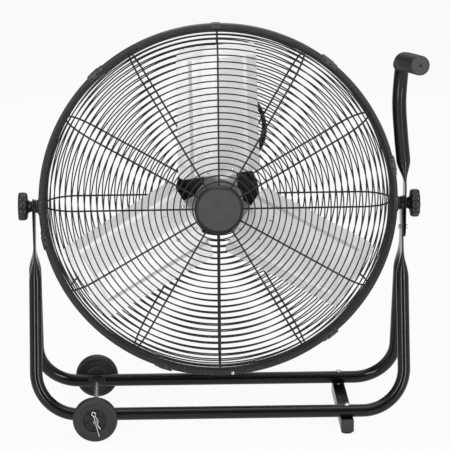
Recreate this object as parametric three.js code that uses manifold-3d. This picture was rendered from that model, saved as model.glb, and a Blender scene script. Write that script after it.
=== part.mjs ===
// Rolling, tilting wire-cage drum fan in a cradle of bent tubes.
// Millimetres, +Z up, the front of the fan faces -Y. The origin is on the floor, under the middle
// of the object.
import * as THREE from 'three';
import Module from 'manifold-3d';
import { mergeVertices } from 'three/addons/utils/BufferGeometryUtils.js';

const wasm = await Module();
wasm.setup();

// ---------------------------------------------------------------- driving dimensions

const gap = 0.3; // between pieces that touch

// wheels, axle and rails
const wheelRadius = 42;
const wheelWidth = 22;
const wheelInset = 30.9; // from the start of the rail's straight part
const axleRadius = 4;
const railSpacing = 221;
const hubClearance = 0.6;

// cradle tubes
const tubeDiameter = 24;
const stripThickness = 3;
const stripWidth = 38;
const stripBeyond = 13.5; // the strip's end above the pivot
const stripLength = 84;
const stripTaper = 58;
const bendRadius = 80;
const pivotHeight = 420;
const pivotBoltRadius = 4;

// handle
const handleDiameter = 27;
const handleStripWidth = 40;
const handleTail = 66;
const handleStripTop = 35;
const handleTaper = 50;
const handleBow = 13;
const handleHeight = 276.5;
const handleReach = 110;
const handleSwing = 25; // the grip's end is this far outside the bow
const handleTipRise = 5;
const elbowRadius = 34;
const gripThickness = 5;
const gripStart = 12;
const gripEnd = 4;
const handleBoltDrop = 46.4;
const handleBoltRadius = 3;
const handleBoltHead = 4.8;

// foot bar
const footInset = 28.4; // from the end of the rail's straight part
const footSlope = 0.0125; // the bar's rear end stands a little farther out
const footBarSize = 24;
const footBarWall = 1.6;
const footBarOverhang = 16.5; // the bar's end beyond the rail's middle
const footCapThickness = 3;
const footPadRadius = 11;
const footCapClearance = 7.5; // between a cap's plug and the foot screw
const footPadInset = 14;
const footScrewRadius = 2.5;
const footScrewHead = 5.5;

// head: hoop, guards and cap
const headLift = 5.5; // hoop centre above the pivot line
const hoopRadius = 340;
const hoopDepth = 20;
const hoopLip = 9;
const sheet = 1.5;
const clipAngles = [-0.7, 37.3, 77.8, 140, 197.6, 257.2, 316.5];
const clipLength = 25;
const clipThickness = 2.2;
const guardFace = 68;
const guardCorner = 60;
const radialCount = 12;
const radialWire = 3.4;
const ringWire = 2.6;
const ringFirst = 57.4;
const ringPitch = 11.9;
const ringShown = [5, 11, 17]; // the wire rings that carry the guard's shape
const capRadius = 46;
const capThickness = 7;
const frontGuardInner = 34;
const rearGuardInner = 70;
const bracketHeight = 27;
const spacerRadius = 12.5;
const spacerLength = 4;

// knobs
const knobRadius = 27;
const knobLobes = 9;
const knobThickness = 13;
const knobHubLength = 13;

// motor
const plateRadius = 81;
const plateThickness = 2.6;
const motorRadius = 68;
const motorLength = 56;
const motorWall = 2.5;
const statorInner = 38;
const statorLength = 28;
const coreLength = 24;
const coreRadius = 37;
const shaftRadius = 6;
const shaftFront = -22;
const bearingRadius = 14;
const bearingWidth = 9.4;
const boxWidth = 76;
const boxHeight = 64;
const boxDepth = 28;
const speedKnobRadius = 17;
const speedKnobHeight = 15;

// blades
const bladePlane = -18;
const bladeTip = 302;
const bladeRoot = 55;
const bladeLeft = -74;
const bladeRight = 82;
const bladeThickness = 1.6;
const bladeCamber = 8;
const rootPitch = 22;
const tipPitch = 17;
const rotorRest = -2.2; // the top blade stands a little to the left
const armTip = 114;
const armMiddle = 5.5;
const armHalfWidth = 31;
const spiderDisc = 46.5;
const spiderThickness = 2.5;
const hubRadius = 17;
const hubLength = 26;

// cord
const cordRadius = 3.8;
const hankTurns = 5.75;
const hankPitch = 8.2;
const hankX = 56;
const hankHalfWidth = 37;
const hankHalfHeight = 55;
const hankRing = 11; // the guard ring that the tie goes round
const glandX = 14;
const glandLength = 22;
const glandRadius = 8;
const plugSize = 24;
const plugLength = 40;
const prongLength = 16;

// facets
const tubeSides = 12;
const roundSides = 24;
const hoopSides = 48;
const cordSides = 6;

// ---------------------------------------------------------------- sizes that follow

const tubeRadius = tubeDiameter / 2;
const railHeight = wheelRadius;
const railY = railSpacing / 2;
const headHeight = pivotHeight + headLift;
const bracketX = hoopRadius + gap + 2;
const spacerX = bracketX + gap;
const frontTubeX = spacerX + spacerLength + gap + stripThickness / 2;
const rearTubeX = frontTubeX + stripThickness + gap;
const handleX = rearTubeX + stripThickness + gap;
const wheelX = wheelInset + bendRadius - frontTubeX;
const footX = frontTubeX - bendRadius - footInset;
const hoopWireRadius = (hoopRadius - hoopLip) * Math.cos(Math.PI / hoopSides) - gap - radialWire / 2;
const guardFlat = hoopWireRadius - guardCorner;
const ringOffset = (radialWire + ringWire) / 2 - 1;
const guardOuter = guardFace + ringOffset + ringWire / 2;
const plateY = guardOuter + gap;
const motorY = plateY + plateThickness + gap;
const motorEnd = motorY + motorLength;
const boxY = motorEnd + gap;
const wheelY = railY + tubeRadius + hubClearance + wheelWidth / 2 + 9;
const clipY = wheelY + wheelWidth / 2 + 4;
const axleEnd = clipY + 5;
const handleRadius = handleDiameter / 2;
const gripRadius = handleRadius + gripThickness;
const footBarTop = railHeight - tubeRadius - gap;
const footBarLength = 2 * (railY + footBarOverhang);
const footPadY = footBarLength / 2 - footPadInset;
const hankStub = 2 * cordRadius; // the hank's ends run straight for one cord diameter
const hankRingRadius = (ringFirst + ringPitch * hankRing) * Math.cos(Math.PI / roundSides);
const hankTop = Math.sqrt(hankRingRadius ** 2 - hankX ** 2);
const hankZ = hankTop - hankHalfHeight;
const plugX = plugLength / 2 - 6;
const plugY = motorY + plugSize / 2;
const plugZ = motorRadius + gap + plugSize / 2;
const hankBack = plugY + hankPitch * hankTurns;

const X = new THREE.Vector3(1, 0, 0);
const Y = new THREE.Vector3(0, 1, 0);
const Z = new THREE.Vector3(0, 0, 1);
const radians = THREE.MathUtils.degToRad;
const { lerp, clamp, smoothstep } = THREE.MathUtils;

// ---------------------------------------------------------------- geometry helpers

// A closed mesh as plain positions and triangles, with its faces pointing out.
function closed(geometry) {
  const plain = geometry.clone();
  plain.deleteAttribute('normal');
  plain.deleteAttribute('uv');
  const merged = mergeVertices(plain, 1e-4);
  const source = merged.index.array;
  const place = merged.attributes.position;
  const triangles = [];
  let volume = 0;
  const corner = [new THREE.Vector3(), new THREE.Vector3(), new THREE.Vector3()];
  for (let i = 0; i < source.length; i += 3) {
    const [a, b, c] = source.slice(i, i + 3);
    if (a !== b && b !== c && c !== a) {
      triangles.push(a, b, c);
      corner.forEach((point, k) => point.fromBufferAttribute(place, source[i + k]));
      volume += corner[0].dot(corner[1].clone().cross(corner[2]));
    }
  }
  if (volume < 0) triangles.reverse();
  merged.setIndex(triangles);
  return merged;
}

function toSolid(geometry) {
  const body = closed(geometry);
  return new wasm.Manifold(new wasm.Mesh({
    numProp: 3,
    vertProperties: new Float32Array(body.attributes.position.array),
    triVerts: new Uint32Array(body.index.array),
  }));
}

function toGeometry(solid) {
  const mesh = solid.getMesh();
  const geometry = new THREE.BufferGeometry();
  geometry.setAttribute('position', new THREE.Float32BufferAttribute(mesh.vertProperties, 3));
  geometry.setIndex(Array.from(mesh.triVerts));
  return geometry;
}

function join(...geometries) {
  return toGeometry(geometries.map(toSolid).reduce((sum, next) => sum.add(next)));
}

function cut(geometry, ...tools) {
  return toGeometry(tools.map(toSolid).reduce((rest, tool) => rest.subtract(tool), toSolid(geometry)));
}

// A closed body through a row of section rings of an even number of points each. The ends are
// closed by strips across the section, or the row closes on itself.
function skin(rings, endless = false) {
  const count = rings[0].length;
  const index = [];
  const spans = endless ? rings.length : rings.length - 1;
  for (let i = 0; i < spans; i += 1) {
    const a = i * count;
    const b = ((i + 1) % rings.length) * count;
    for (let j = 0; j < count; j += 1) {
      const k = (j + 1) % count;
      index.push(a + j, b + j, b + k, a + j, b + k, a + k);
    }
  }
  const end = (rings.length - 1) * count;
  for (let j = 0; !endless && j < count / 2 - 1; j += 1) {
    const k = count - 1 - j;
    index.push(j, j + 1, k - 1, j, k - 1, k);
    index.push(end + j, end + k - 1, end + j + 1, end + j, end + k, end + k - 1);
  }
  const geometry = new THREE.BufferGeometry();
  const positions = rings.flat().flatMap((p) => [p.x, p.y, p.z]);
  geometry.setAttribute('position', new THREE.Float32BufferAttribute(positions, 3));
  geometry.setIndex(index);
  return closed(geometry);
}

// Sweeps an outline along points without twisting it. outline(i) gives [a, b] pairs: a is measured
// along the carried side direction, b square to it and to the path.
function sweep(points, side, outline) {
  let u = side.clone();
  const rings = points.map((point, i) => {
    const before = points[Math.max(i - 1, 0)];
    const after = points[Math.min(i + 1, points.length - 1)];
    const along = after.clone().sub(before).normalize();
    u = u.clone().addScaledVector(along, -u.dot(along)).normalize();
    const v = along.clone().cross(u);
    return outline(i).map(([a, b]) => point.clone().addScaledVector(u, a).addScaledVector(v, b));
  });
  return skin(rings);
}

function roundOutline(radius, sides) {
  return Array.from({ length: sides }, (_, k) => {
    const angle = (2 * Math.PI * (k + 0.5)) / sides;
    return [radius * Math.cos(angle), radius * Math.sin(angle)];
  });
}

// A round tube's section on its way to a flat strip: flat runs from 0 to 1.
function tubeOutline(radius, stripHalf, flat, width = 1) {
  return roundOutline(1, tubeSides).map(([a, b]) => [
    lerp(radius * a, (stripThickness / 2) * clamp(2 * a, -1, 1), flat),
    lerp(radius * b, stripHalf * width * b, flat),
  ]);
}

// Small round pieces have fewer facets.
const facets = (radius) => (radius < 15 ? roundSides / 2 : roundSides);

// A body turned about the Y axis. The profile's points are [radius, y]. It starts and ends on the
// axis, or it is closed here.
function turned(profile, sides = facets(Math.max(...profile.map(([radius]) => radius)))) {
  const onAxis = profile[0][0] === 0;
  const points = (onAxis ? profile : [...profile, profile[0]]).map(([r, y]) => new THREE.Vector2(r, y));
  return closed(new THREE.LatheGeometry(points, sides));
}

function rod(radius, low, high, sides = facets(radius)) {
  return turned([[0, low], [radius, low], [radius, high], [0, high]], sides);
}

function ring(inner, outer, low, high, sides = facets(outer)) {
  return turned([[inner, low], [outer, low], [outer, high], [inner, high]], sides);
}

const alongX = (geometry) => geometry.rotateZ(-Math.PI / 2);
const alongZ = (geometry) => geometry.rotateX(Math.PI / 2);

function block(width, depth, height, x = 0, y = 0, z = 0) {
  return new THREE.BoxGeometry(width, depth, height).translate(x, y, z);
}

// An outline of [x, y] points, drawn in the X-Y plane and raised about its middle along Z.
function plate(outline, height) {
  const shape = new THREE.Shape(outline.map(([x, y]) => new THREE.Vector2(x, y)));
  const options = { depth: height, bevelEnabled: false };
  return new THREE.ExtrudeGeometry(shape, options).translate(0, 0, -height / 2);
}

// ---------------------------------------------------------------- cradle

const stripEnd = [80, 60, 30, 0].map((degrees) => ({
  back: Math.sin(radians(degrees)),
  width: Math.cos(radians(degrees)),
}));

// Half of a cradle tube's centreline in its own leaning plane, from the flattened end down and
// round to the rail. x is the distance from the middle, down the distance from the pivot.
function cradleStations(x, drop) {
  const end = (back) => (stripWidth / 2) * (1 - back) - stripBeyond;
  const stations = stripEnd.map(({ back, width }) => ({ x, down: end(back), flat: 1, width }));
  [0, 0.25, 0.6, 1].forEach((share) => {
    const flat = 1 - smoothstep(share, 0, 1);
    stations.push({ x, down: stripLength + share * stripTaper, flat, width: 1 });
  });
  for (let step = 0; step <= 7; step += 1) {
    const turn = (step / 7) * (Math.PI / 2);
    stations.push({
      x: x - bendRadius * (1 - Math.cos(turn)),
      down: drop - bendRadius * (1 - Math.sin(turn)),
      flat: 0,
      width: 1,
    });
  }
  return stations;
}

function cradleTube(side, x) {
  const rise = pivotHeight - railHeight;
  const drop = Math.hypot(railY, rise);
  const half = cradleStations(x, drop);
  const stations = [...half, ...half.map((s) => ({ ...s, x: -s.x })).reverse()];
  const points = stations.map((s) => new THREE.Vector3(
    s.x,
    (side * s.down * railY) / drop,
    pivotHeight - (s.down * rise) / drop,
  ));
  const section = (i) => (
    tubeOutline(tubeRadius, stripWidth / 2, stations[i].flat, stations[i].width)
  );
  return cut(
    sweep(points, X, section),
    alongX(rod(pivotBoltRadius + gap, -x - tubeRadius, x + tubeRadius)).translate(0, 0, pivotHeight),
    alongX(rod(handleBoltRadius + gap, x - tubeRadius, x + tubeRadius))
      .translate(0, 0, pivotHeight - handleBoltDrop),
    rod(axleRadius + gap, -railY - tubeDiameter, railY + tubeDiameter).translate(wheelX, 0, railHeight),
    alongZ(rod(footScrewRadius + gap, 0, railHeight + tubeDiameter))
      .translate(footX + side * railY * footSlope, side * railY, 0),
  );
}

// The handle's centreline: the strip, a long gentle bow, and an elbow that turns to the front.
function handleRoute() {
  const at = (dx, dy, dz) => new THREE.Vector3(handleX + dx, dy, pivotHeight + dz);
  const bowTop = handleHeight - elbowRadius;
  return new THREE.CatmullRomCurve3([
    at(0, 0, handleStripTop),
    at(-0.25 * handleBow, 0, lerp(handleStripTop, bowTop, 0.21)),
    at(-0.62 * handleBow, 0, lerp(handleStripTop, bowTop, 0.43)),
    at(-handleBow, 0, lerp(handleStripTop, bowTop, 0.76)),
    at(-0.82 * handleBow, 0, bowTop),
    at(-0.72 * handleBow, -0.12 * elbowRadius, handleHeight - 0.5 * elbowRadius),
    at(-0.57 * handleBow, -0.45 * elbowRadius, handleHeight - 0.12 * elbowRadius),
    at(-0.4 * handleBow, -elbowRadius, handleHeight),
    at(handleSwing - handleBow, gripEnd - handleReach, handleHeight + handleTipRise),
  ], false, 'centripetal');
}

function handlePoints() {
  const strip = [0.06, 0.3, 0.65, 1].map((share) => share * handleStripWidth * 0.5 - handleTail);
  const low = [...strip, 0].map((dz) => new THREE.Vector3(handleX, 0, pivotHeight + dz));
  return [...low, ...handleRoute().getPoints(20)];
}

function handleSection(point) {
  const up = point.z - pivotHeight;
  const flat = 1 - smoothstep(up, handleStripTop, handleStripTop + handleTaper);
  const inset = Math.min((up + handleTail) / (handleStripWidth / 2), 1);
  return tubeOutline(handleRadius, handleStripWidth / 2, flat, Math.sqrt(1 - (1 - inset) ** 2));
}

function handleTube() {
  const points = handlePoints();
  return cut(
    sweep(points, X, (i) => handleSection(points[i])),
    alongX(rod(pivotBoltRadius + gap, handleX - 8, handleX + 8)).translate(0, 0, pivotHeight),
    alongX(rod(handleBoltRadius + gap, handleX - 8, handleX + 8))
      .translate(0, 0, pivotHeight - handleBoltDrop),
  );
}

// The last stretch of the handle, from the elbow to past its end.
function gripPoints(start, past) {
  const points = handlePoints().filter((p) => p.y < -start);
  const [before, tip] = points.slice(-2);
  const onward = tip.clone().sub(before).normalize();
  return [...points, tip.clone().addScaledVector(onward, past)];
}

function handleGrip() {
  const outer = gripPoints(gripStart, gripEnd);
  const inner = gripPoints(gripStart / 3, gap);
  return cut(
    sweep(outer, X, () => roundOutline(gripRadius, tubeSides)),
    sweep(inner, X, () => roundOutline(handleRadius + gap, tubeSides)),
  );
}

function handleBolt() {
  const face = frontTubeX - stripThickness / 2 - gap;
  const end = handleX + 6.5;
  return alongX(turned([
    [0, face - 3], [handleBoltHead - 2, face - 3], [handleBoltHead, face - 1.5],
    [handleBoltHead, face],
    [handleBoltRadius, face], [handleBoltRadius, end], [0, end],
  ]));
}

function handleNut() {
  const face = handleX + stripThickness / 2 + gap;
  return alongX(ring(handleBoltRadius + gap, handleBoltHead, face, face + 4));
}

// ---------------------------------------------------------------- foot bar

function footBar() {
  const bore = footBarSize - 2 * footBarWall;
  const z = footBarTop - footBarSize / 2;
  const screw = alongZ(rod(footScrewRadius + gap, z, railHeight));
  return cut(
    block(footBarSize, footBarLength, footBarSize, 0, 0, z),
    block(bore, footBarLength + 2, bore, 0, 0, z),
    screw.clone().translate(0, railY, 0),
    screw.clone().translate(0, -railY, 0),
  );
}

function footBarCap() {
  const plug = footBarSize - 2 * (footBarWall + gap);
  const z = footBarTop - footBarSize / 2;
  const face = footBarLength / 2 + gap;
  const depth = footBarOverhang + gap - footScrewRadius - footCapClearance;
  return join(
    block(footBarSize, footCapThickness, footBarSize, 0, -face - footCapThickness / 2, z),
    block(plug, depth + 1, plug, 0, -face + (depth - 1) / 2, z),
  );
}

function footPad() {
  const top = footBarTop - footBarSize - gap;
  return alongZ(turned([
    [0, 0], [footPadRadius - 2, 0], [footPadRadius, 2], [footPadRadius, top], [0, top],
  ]));
}

function footScrew() {
  const seat = railHeight + tubeRadius + gap;
  const low = footBarTop - footBarWall - 5;
  return alongZ(turned([
    [0, low], [footScrewRadius, low], [footScrewRadius, seat], [footScrewHead, seat],
    [footScrewHead, seat + 1.2], [footScrewHead - 2, seat + 3], [0, seat + 3.5],
  ]));
}

// ---------------------------------------------------------------- wheels and axle

const clipTurn = radians(14.4); // the clip's straight leg leans this far from plumb

// The spring clip's centreline in the plane of its two legs: the straight leg, the eye, and the
// bowed leg that goes round the axle's outside. [along, across] from the axle's middle.
function clipRoute() {
  const bow = axleRadius + 1.7;
  const eye = 3.2;
  const legs = [[30, 0], [10, 0], [0, 0], [-11, 0], [-15, -2.4], [-18.4, 0]];
  const back = [[-18, eye], [-14.4, eye + 1.6], [-9, eye], [0, bow], [7, eye], [17, eye + 3]];
  return new THREE.CatmullRomCurve3([...legs, ...back].map(([along, across]) => new THREE.Vector3(
    along * Math.sin(clipTurn) + across * Math.cos(clipTurn),
    0,
    -along * Math.cos(clipTurn) + across * Math.sin(clipTurn),
  )), false, 'centripetal');
}

const clipWire = 1.1;

function wheelClip() {
  return sweep(clipRoute().getPoints(20), Y, () => roundOutline(clipWire, cordSides));
}

function wheelAxle() {
  const hole = alongZ(rod(clipWire + gap, -axleRadius * 2, axleRadius * 2)).rotateY(-clipTurn);
  return cut(
    turned([
      [0, -axleEnd], [axleRadius - 1, -axleEnd], [axleRadius, 1 - axleEnd],
      [axleRadius, axleEnd - 1], [axleRadius - 1, axleEnd], [0, axleEnd],
    ]),
    hole.clone().translate(0, clipY, 0),
    hole.clone().translate(0, -clipY, 0),
  );
}

// The wheel's outer side faces +Y. Its long inner hub runs on to the rail.
function wheel() {
  const half = wheelWidth / 2;
  const hub = 11;
  const dish = 21.5;
  const inner = -(wheelY - railY - tubeRadius - hubClearance);
  return turned([
    [axleRadius + gap, inner], [hub, inner], [hub, -half], [wheelRadius - 4, -half],
    [wheelRadius, -half + 5], [wheelRadius, half - 5], [wheelRadius - 4, half], [dish, half],
    [dish, half - 7], [hub, half - 7], [hub, half - 1], [axleRadius + gap, half - 1],
  ]);
}

// A low oval saddle plate on the inner side of a rail, round the axle.
function axleSaddle() {
  const outline = Array.from({ length: 16 }, (_, k) => {
    const angle = (2 * Math.PI * k) / 16;
    return [18 * Math.cos(angle), 4.5 + 10.5 * Math.sin(angle)];
  });
  return cut(
    plate(outline, 4).rotateX(Math.PI / 2),
    rod(axleRadius + gap, -6, 6),
  );
}

// ---------------------------------------------------------------- head

function drumBand() {
  const half = hoopDepth / 2;
  const lip = hoopRadius - hoopLip;
  const wall = hoopRadius - sheet;
  const hole = alongX(rod(pivotBoltRadius + gap, -hoopRadius - 9, hoopRadius + 9));
  return cut(
    turned([
      [lip, -half], [hoopRadius, -half], [hoopRadius, half], [lip, half],
      [lip, half - sheet], [wall, half - sheet], [wall, sheet - half], [lip, sheet - half],
    ], hoopSides),
    hole.translate(0, 0, -headLift),
  );
}

// A C-shaped strap over the hoop, drawn on the +X side. It stays clear of the guard wires.
function hoopStrap(thickness, height) {
  const inner = hoopRadius + gap;
  const outer = inner + thickness;
  const half = hoopDepth / 2 + gap;
  const wide = half + thickness;
  const arm = hoopRadius - hoopLip + 2;
  return plate([
    [arm, -wide], [outer, -wide], [outer, wide], [arm, wide],
    [arm, half], [inner, half], [inner, -half], [arm, -half],
  ], height);
}

function pivotBracket() {
  const hole = alongX(rod(pivotBoltRadius + gap, hoopRadius - 9, hoopRadius + 9));
  return cut(hoopStrap(bracketX - hoopRadius - gap, bracketHeight), hole);
}

function pivotBolt(knobFace) {
  const seat = (hoopRadius - sheet) * Math.cos(Math.PI / hoopSides) - 2 * gap;
  const end = knobFace + 18;
  return alongX(turned([
    [0, seat - 3], [4, seat - 3], [7, seat - 1], [7, seat],
    [pivotBoltRadius, seat], [pivotBoltRadius, end], [0, end],
  ]));
}

function pivotSpacer() {
  return alongX(ring(pivotBoltRadius + gap, spacerRadius, spacerX, spacerX + spacerLength));
}

// A hand knob with a lobed rim and a conical hub, drawn on the +X side with its seat at x = 0.
function clampKnob() {
  const steps = knobLobes * 4;
  const depth = 2.6;
  const rim = Array.from({ length: steps }, (_, k) => {
    const angle = (2 * Math.PI * k) / steps;
    const radius = knobRadius - depth * (0.5 - 0.5 * Math.cos(knobLobes * angle));
    return [radius * Math.cos(angle), radius * Math.sin(angle)];
  });
  const hub = turned([
    [0, 0], [10, 0], [16, knobHubLength], [16, knobHubLength + 1], [0, knobHubLength + 1],
  ]);
  const disc = plate(rim, knobThickness).rotateY(Math.PI / 2)
    .translate(knobHubLength + knobThickness / 2, 0, 0);
  const bore = rod(pivotBoltRadius + gap, -1, 18 + gap);
  return cut(join(alongX(hub), disc), alongX(bore));
}

// The guard's profile, a flat face and a round corner down to the hoop. along is measured from
// the axis over the wire. It gives the radius, the depth from the hoop's middle, and the slope.
function guardProfile(along) {
  const turn = clamp((along - guardFlat) / guardCorner, 0, Math.PI / 2);
  return {
    radius: Math.min(along, guardFlat) + guardCorner * Math.sin(turn),
    depth: guardFace - guardCorner * (1 - Math.cos(turn)),
    turn,
  };
}

const guardLength = guardFlat + (guardCorner * Math.PI) / 2;

// The flats of the wire rings lie on the radial wires.
function squareRing(radius, y, size, sides) {
  return ring(radius - size / 2, radius + size / 2, y - size / 2, y + size / 2, sides)
    .rotateY(Math.PI / sides);
}

function guardRadial(from) {
  const stations = [from, guardFlat];
  for (let step = 1; step <= 3; step += 1) {
    stations.push(lerp(guardFlat, guardLength, step / 3));
  }
  const points = stations.map((along) => {
    const { radius, depth } = guardProfile(along);
    return new THREE.Vector3(0, depth, radius);
  });
  const half = radialWire / 2;
  return sweep(points, X, () => [[half, -half], [half, half], [-half, half], [-half, -half]]);
}

// A wire guard that bulges towards +Y.
function guard(inner) {
  const wires = [
    squareRing(hoopWireRadius, guardFace - guardCorner, radialWire, hoopSides),
    squareRing(inner, guardFace + ringOffset, ringWire, roundSides),
  ];
  ringShown.forEach((number) => {
    const { radius, depth, turn } = guardProfile(ringFirst + ringPitch * number);
    const out = ringOffset;
    wires.push(squareRing(radius + out * Math.sin(turn), depth + out * Math.cos(turn), ringWire,
      roundSides));
  });
  const radial = guardRadial(inner);
  for (let k = 0; k < radialCount; k += 1) {
    wires.push(radial.clone().rotateY((2 * Math.PI * k) / radialCount));
  }
  return join(...wires);
}

function centreCap() {
  const back = -guardOuter - gap;
  const face = back - capThickness;
  return turned([
    [0, back], [capRadius, back], [capRadius, back - 1.5], [capRadius - 2, face + 2.5],
    [capRadius - 6, face + 0.6], [capRadius - 7, face], [0, face],
  ]);
}

// ---------------------------------------------------------------- motor

function motorFrontShell() {
  const wall = motorY + 3;
  const boss = wall + gap + bearingWidth;
  const mouth = motorY + motorLength / 2 - gap / 2;
  const hole = shaftRadius + 2;
  return turned([
    [hole, motorY], [motorRadius, motorY], [motorRadius, mouth], [motorRadius - motorWall, mouth],
    [motorRadius - motorWall, wall], [bearingRadius + 4, wall], [bearingRadius + 4, boss],
    [bearingRadius + gap, boss], [bearingRadius + gap, wall], [hole, wall],
  ]);
}

function motorRearShell() {
  const wall = motorEnd - 3;
  const boss = wall - gap - bearingWidth;
  const mouth = motorY + motorLength / 2 + gap / 2;
  return turned([
    [0, motorEnd], [motorRadius - 3, motorEnd], [motorRadius, motorEnd - 3], [motorRadius, mouth],
    [motorRadius - motorWall, mouth], [motorRadius - motorWall, wall], [bearingRadius + 4, wall],
    [bearingRadius + 4, boss], [bearingRadius + gap, boss], [bearingRadius + gap, wall], [0, wall],
  ]);
}

function bearing(low) {
  return ring(shaftRadius + gap, bearingRadius, low, low + bearingWidth);
}

function stator() {
  const edge = statorLength / 2;
  const middle = motorY + motorLength / 2;
  return ring(statorInner, motorRadius - motorWall - gap, middle - edge, middle + edge);
}

function rotorCore() {
  const middle = motorY + motorLength / 2;
  return ring(shaftRadius + gap, coreRadius, middle - coreLength / 2, middle + coreLength / 2);
}

function motorShaft() {
  const end = motorEnd - 3 - gap;
  return turned([
    [0, shaftFront], [shaftRadius - 1, shaftFront], [shaftRadius, shaftFront + 1],
    [shaftRadius, end], [0, end],
  ]);
}

function mountPlate() {
  return ring(shaftRadius + 2, plateRadius, plateY, plateY + plateThickness);
}

// A box that is open towards the motor.
function controlBox() {
  const wall = 2.5;
  return cut(
    block(boxWidth, boxDepth, boxHeight, 0, boxY + boxDepth / 2, 0),
    block(boxWidth - 2 * wall, boxDepth, boxHeight - 2 * wall, 0, boxY + boxDepth / 2 - wall, 0),
  );
}

function speedKnob() {
  const pointer = block(5, speedKnobHeight, speedKnobRadius * 2 - 3, 0, speedKnobHeight / 2 + 1.5, 0);
  const skirt = turned([
    [0, 0], [speedKnobRadius, 0], [speedKnobRadius, 4], [speedKnobRadius - 3, 6],
    [speedKnobRadius - 5, speedKnobHeight - 2], [0, speedKnobHeight - 2],
  ]);
  return join(skirt, pointer);
}

// ---------------------------------------------------------------- blades

// Where the top blade's middle surface lies, at chord x and radius r.
function bladeSurface(x, r) {
  const share = clamp((r - bladeRoot) / (bladeTip - bladeRoot), 0, 1);
  const pitch = radians(lerp(rootPitch, tipPitch, share));
  const middle = (bladeLeft + bladeRight) / 2;
  const bow = 1 - ((x - middle) / ((bladeRight - bladeLeft) / 2)) ** 2;
  return bladePlane + x * Math.tan(pitch) + bladeCamber * bow;
}

// A sheet that follows the blade's surface, given rows of [radius, left, right], and a lift per row.
function bladeSheet(rows, thickness, lift) {
  const count = 7;
  const rings = rows.map(([r, left, right]) => {
    const chord = Array.from({ length: count }, (_, k) => lerp(left, right, k / (count - 1)));
    const at = (x, side) => new THREE.Vector3(x, lift(x, r) + (side * thickness) / 2, r);
    return [...chord.map((x) => at(x, -1)), ...chord.reverse().map((x) => at(x, 1))];
  });
  return skin(rings);
}

function blade() {
  const rows = [
    [bladeRoot, bladeLeft + 26, bladeRight - 31], [bladeRoot + 6, bladeLeft, bladeRight],
    [lerp(bladeRoot, bladeTip, 0.25), bladeLeft, bladeRight],
    [lerp(bladeRoot, bladeTip, 0.5), bladeLeft, bladeRight],
    [lerp(bladeRoot, bladeTip, 0.75), bladeLeft, bladeRight],
    [bladeTip - 16, bladeLeft, bladeRight], [bladeTip - 5, bladeLeft + 5, bladeRight - 5],
    [bladeTip, bladeLeft + 16, bladeRight - 16],
  ];
  return bladeSheet(rows, bladeThickness, bladeSurface);
}

const spiderPlane = bladePlane + bladeCamber + spiderThickness;

// The hub plate: a disc, a boss on the shaft, and three arms that lie on the blades' backs.
function bladeSpider() {
  const behind = bladeThickness / 2 + gap + spiderThickness / 2;
  const armLift = (x, r) => {
    const twist = clamp((r - spiderDisc + 10) / (bladeRoot - spiderDisc + 8), 0, 1);
    return lerp(spiderPlane, bladeSurface(x, r) + behind, twist);
  };
  const left = armMiddle - armHalfWidth;
  const right = armMiddle + armHalfWidth;
  const rows = [
    [spiderDisc - 18, left, right], [spiderDisc - 10, left, right], [bladeRoot - 2, left, right],
    [lerp(bladeRoot, armTip, 0.5), left, right], [armTip - 6, left, right],
    [armTip, left + 6, right - 6],
  ];
  const arm = bladeSheet(rows, spiderThickness, armLift);
  const low = spiderPlane - spiderThickness / 2;
  return cut(
    join(
      rod(spiderDisc, low, low + spiderThickness),
      rod(hubRadius, low + 1, low + hubLength),
      ...[0, 1, 2].map((k) => arm.clone().rotateY((2 * Math.PI * k) / 3)),
    ),
    rod(shaftRadius + gap, low - 9, low + hubLength + 9),
  );
}

function shaftNut() {
  const seat = spiderPlane - spiderThickness / 2 - gap;
  return ring(shaftRadius + gap, 11, seat - 8, seat);
}

// ---------------------------------------------------------------- cord, measured from the head

// The hank's centreline: oval loops side by side, from the left side up and over. It leaves at the
// bottom, heading left.
function hankPoint(turns) {
  const angle = 2 * Math.PI * turns;
  return new THREE.Vector3(
    hankX - hankHalfWidth * Math.cos(angle),
    hankBack - hankPitch * turns,
    hankZ + hankHalfHeight * Math.sin(angle),
  );
}

function cordTube(points) {
  return sweep(points, Y, () => roundOutline(cordRadius, cordSides));
}

const hankStart = hankPoint(0).add(new THREE.Vector3(0, 0, -hankStub));
const hankEnd = hankPoint(hankTurns).add(new THREE.Vector3(-hankStub, 0, 0));

const loopSteps = 24;

// The clear space between the hank's own loops, measured on its points.
function leastGap(points) {
  let least = Infinity;
  points.forEach((point, i) => {
    points.slice(i + loopSteps / 2).forEach((other) => {
      least = Math.min(least, point.distanceTo(other));
    });
  });
  return least - 2 * cordRadius;
}

function cordHank() {
  const steps = Math.round(hankTurns * loopSteps);
  const loops = Array.from({ length: steps + 1 }, (_, k) => hankPoint((k / steps) * hankTurns));
  console.log(`cord_hank: least gap to itself ${leastGap(loops).toFixed(2)} mm`);
  return cordTube([hankStart, ...loops, hankEnd]);
}

const glandY = boxY + boxDepth / 2;
const glandTop = boxHeight / 2 + gap + glandLength;

function cordGland() {
  const low = boxHeight / 2 + gap;
  return alongZ(turned([
    [0, low], [glandRadius, low], [glandRadius, low + 5], [cordRadius + 1.4, glandTop], [0, glandTop],
  ]));
}

// A cord stretch that leaves both ends straight for one radius, with an even curve between.
function cordStretch(start, end, heading) {
  const first = start.clone().addScaledVector(heading, cordRadius);
  const last = end.clone().addScaledVector(heading, -cordRadius);
  const reach = heading.clone().multiplyScalar(last.clone().sub(first).dot(heading) / 2);
  const route = new THREE.CubicBezierCurve3(
    first, first.clone().add(reach), last.clone().sub(reach), last,
  );
  return sweep([start, ...route.getPoints(8), end], Y, () => roundOutline(cordRadius, 8));
}

function cordLead() {
  const start = new THREE.Vector3(glandX, glandY, glandTop + gap);
  return cordStretch(start, hankStart.clone().add(new THREE.Vector3(0, 0, -gap)), Z);
}

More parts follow.
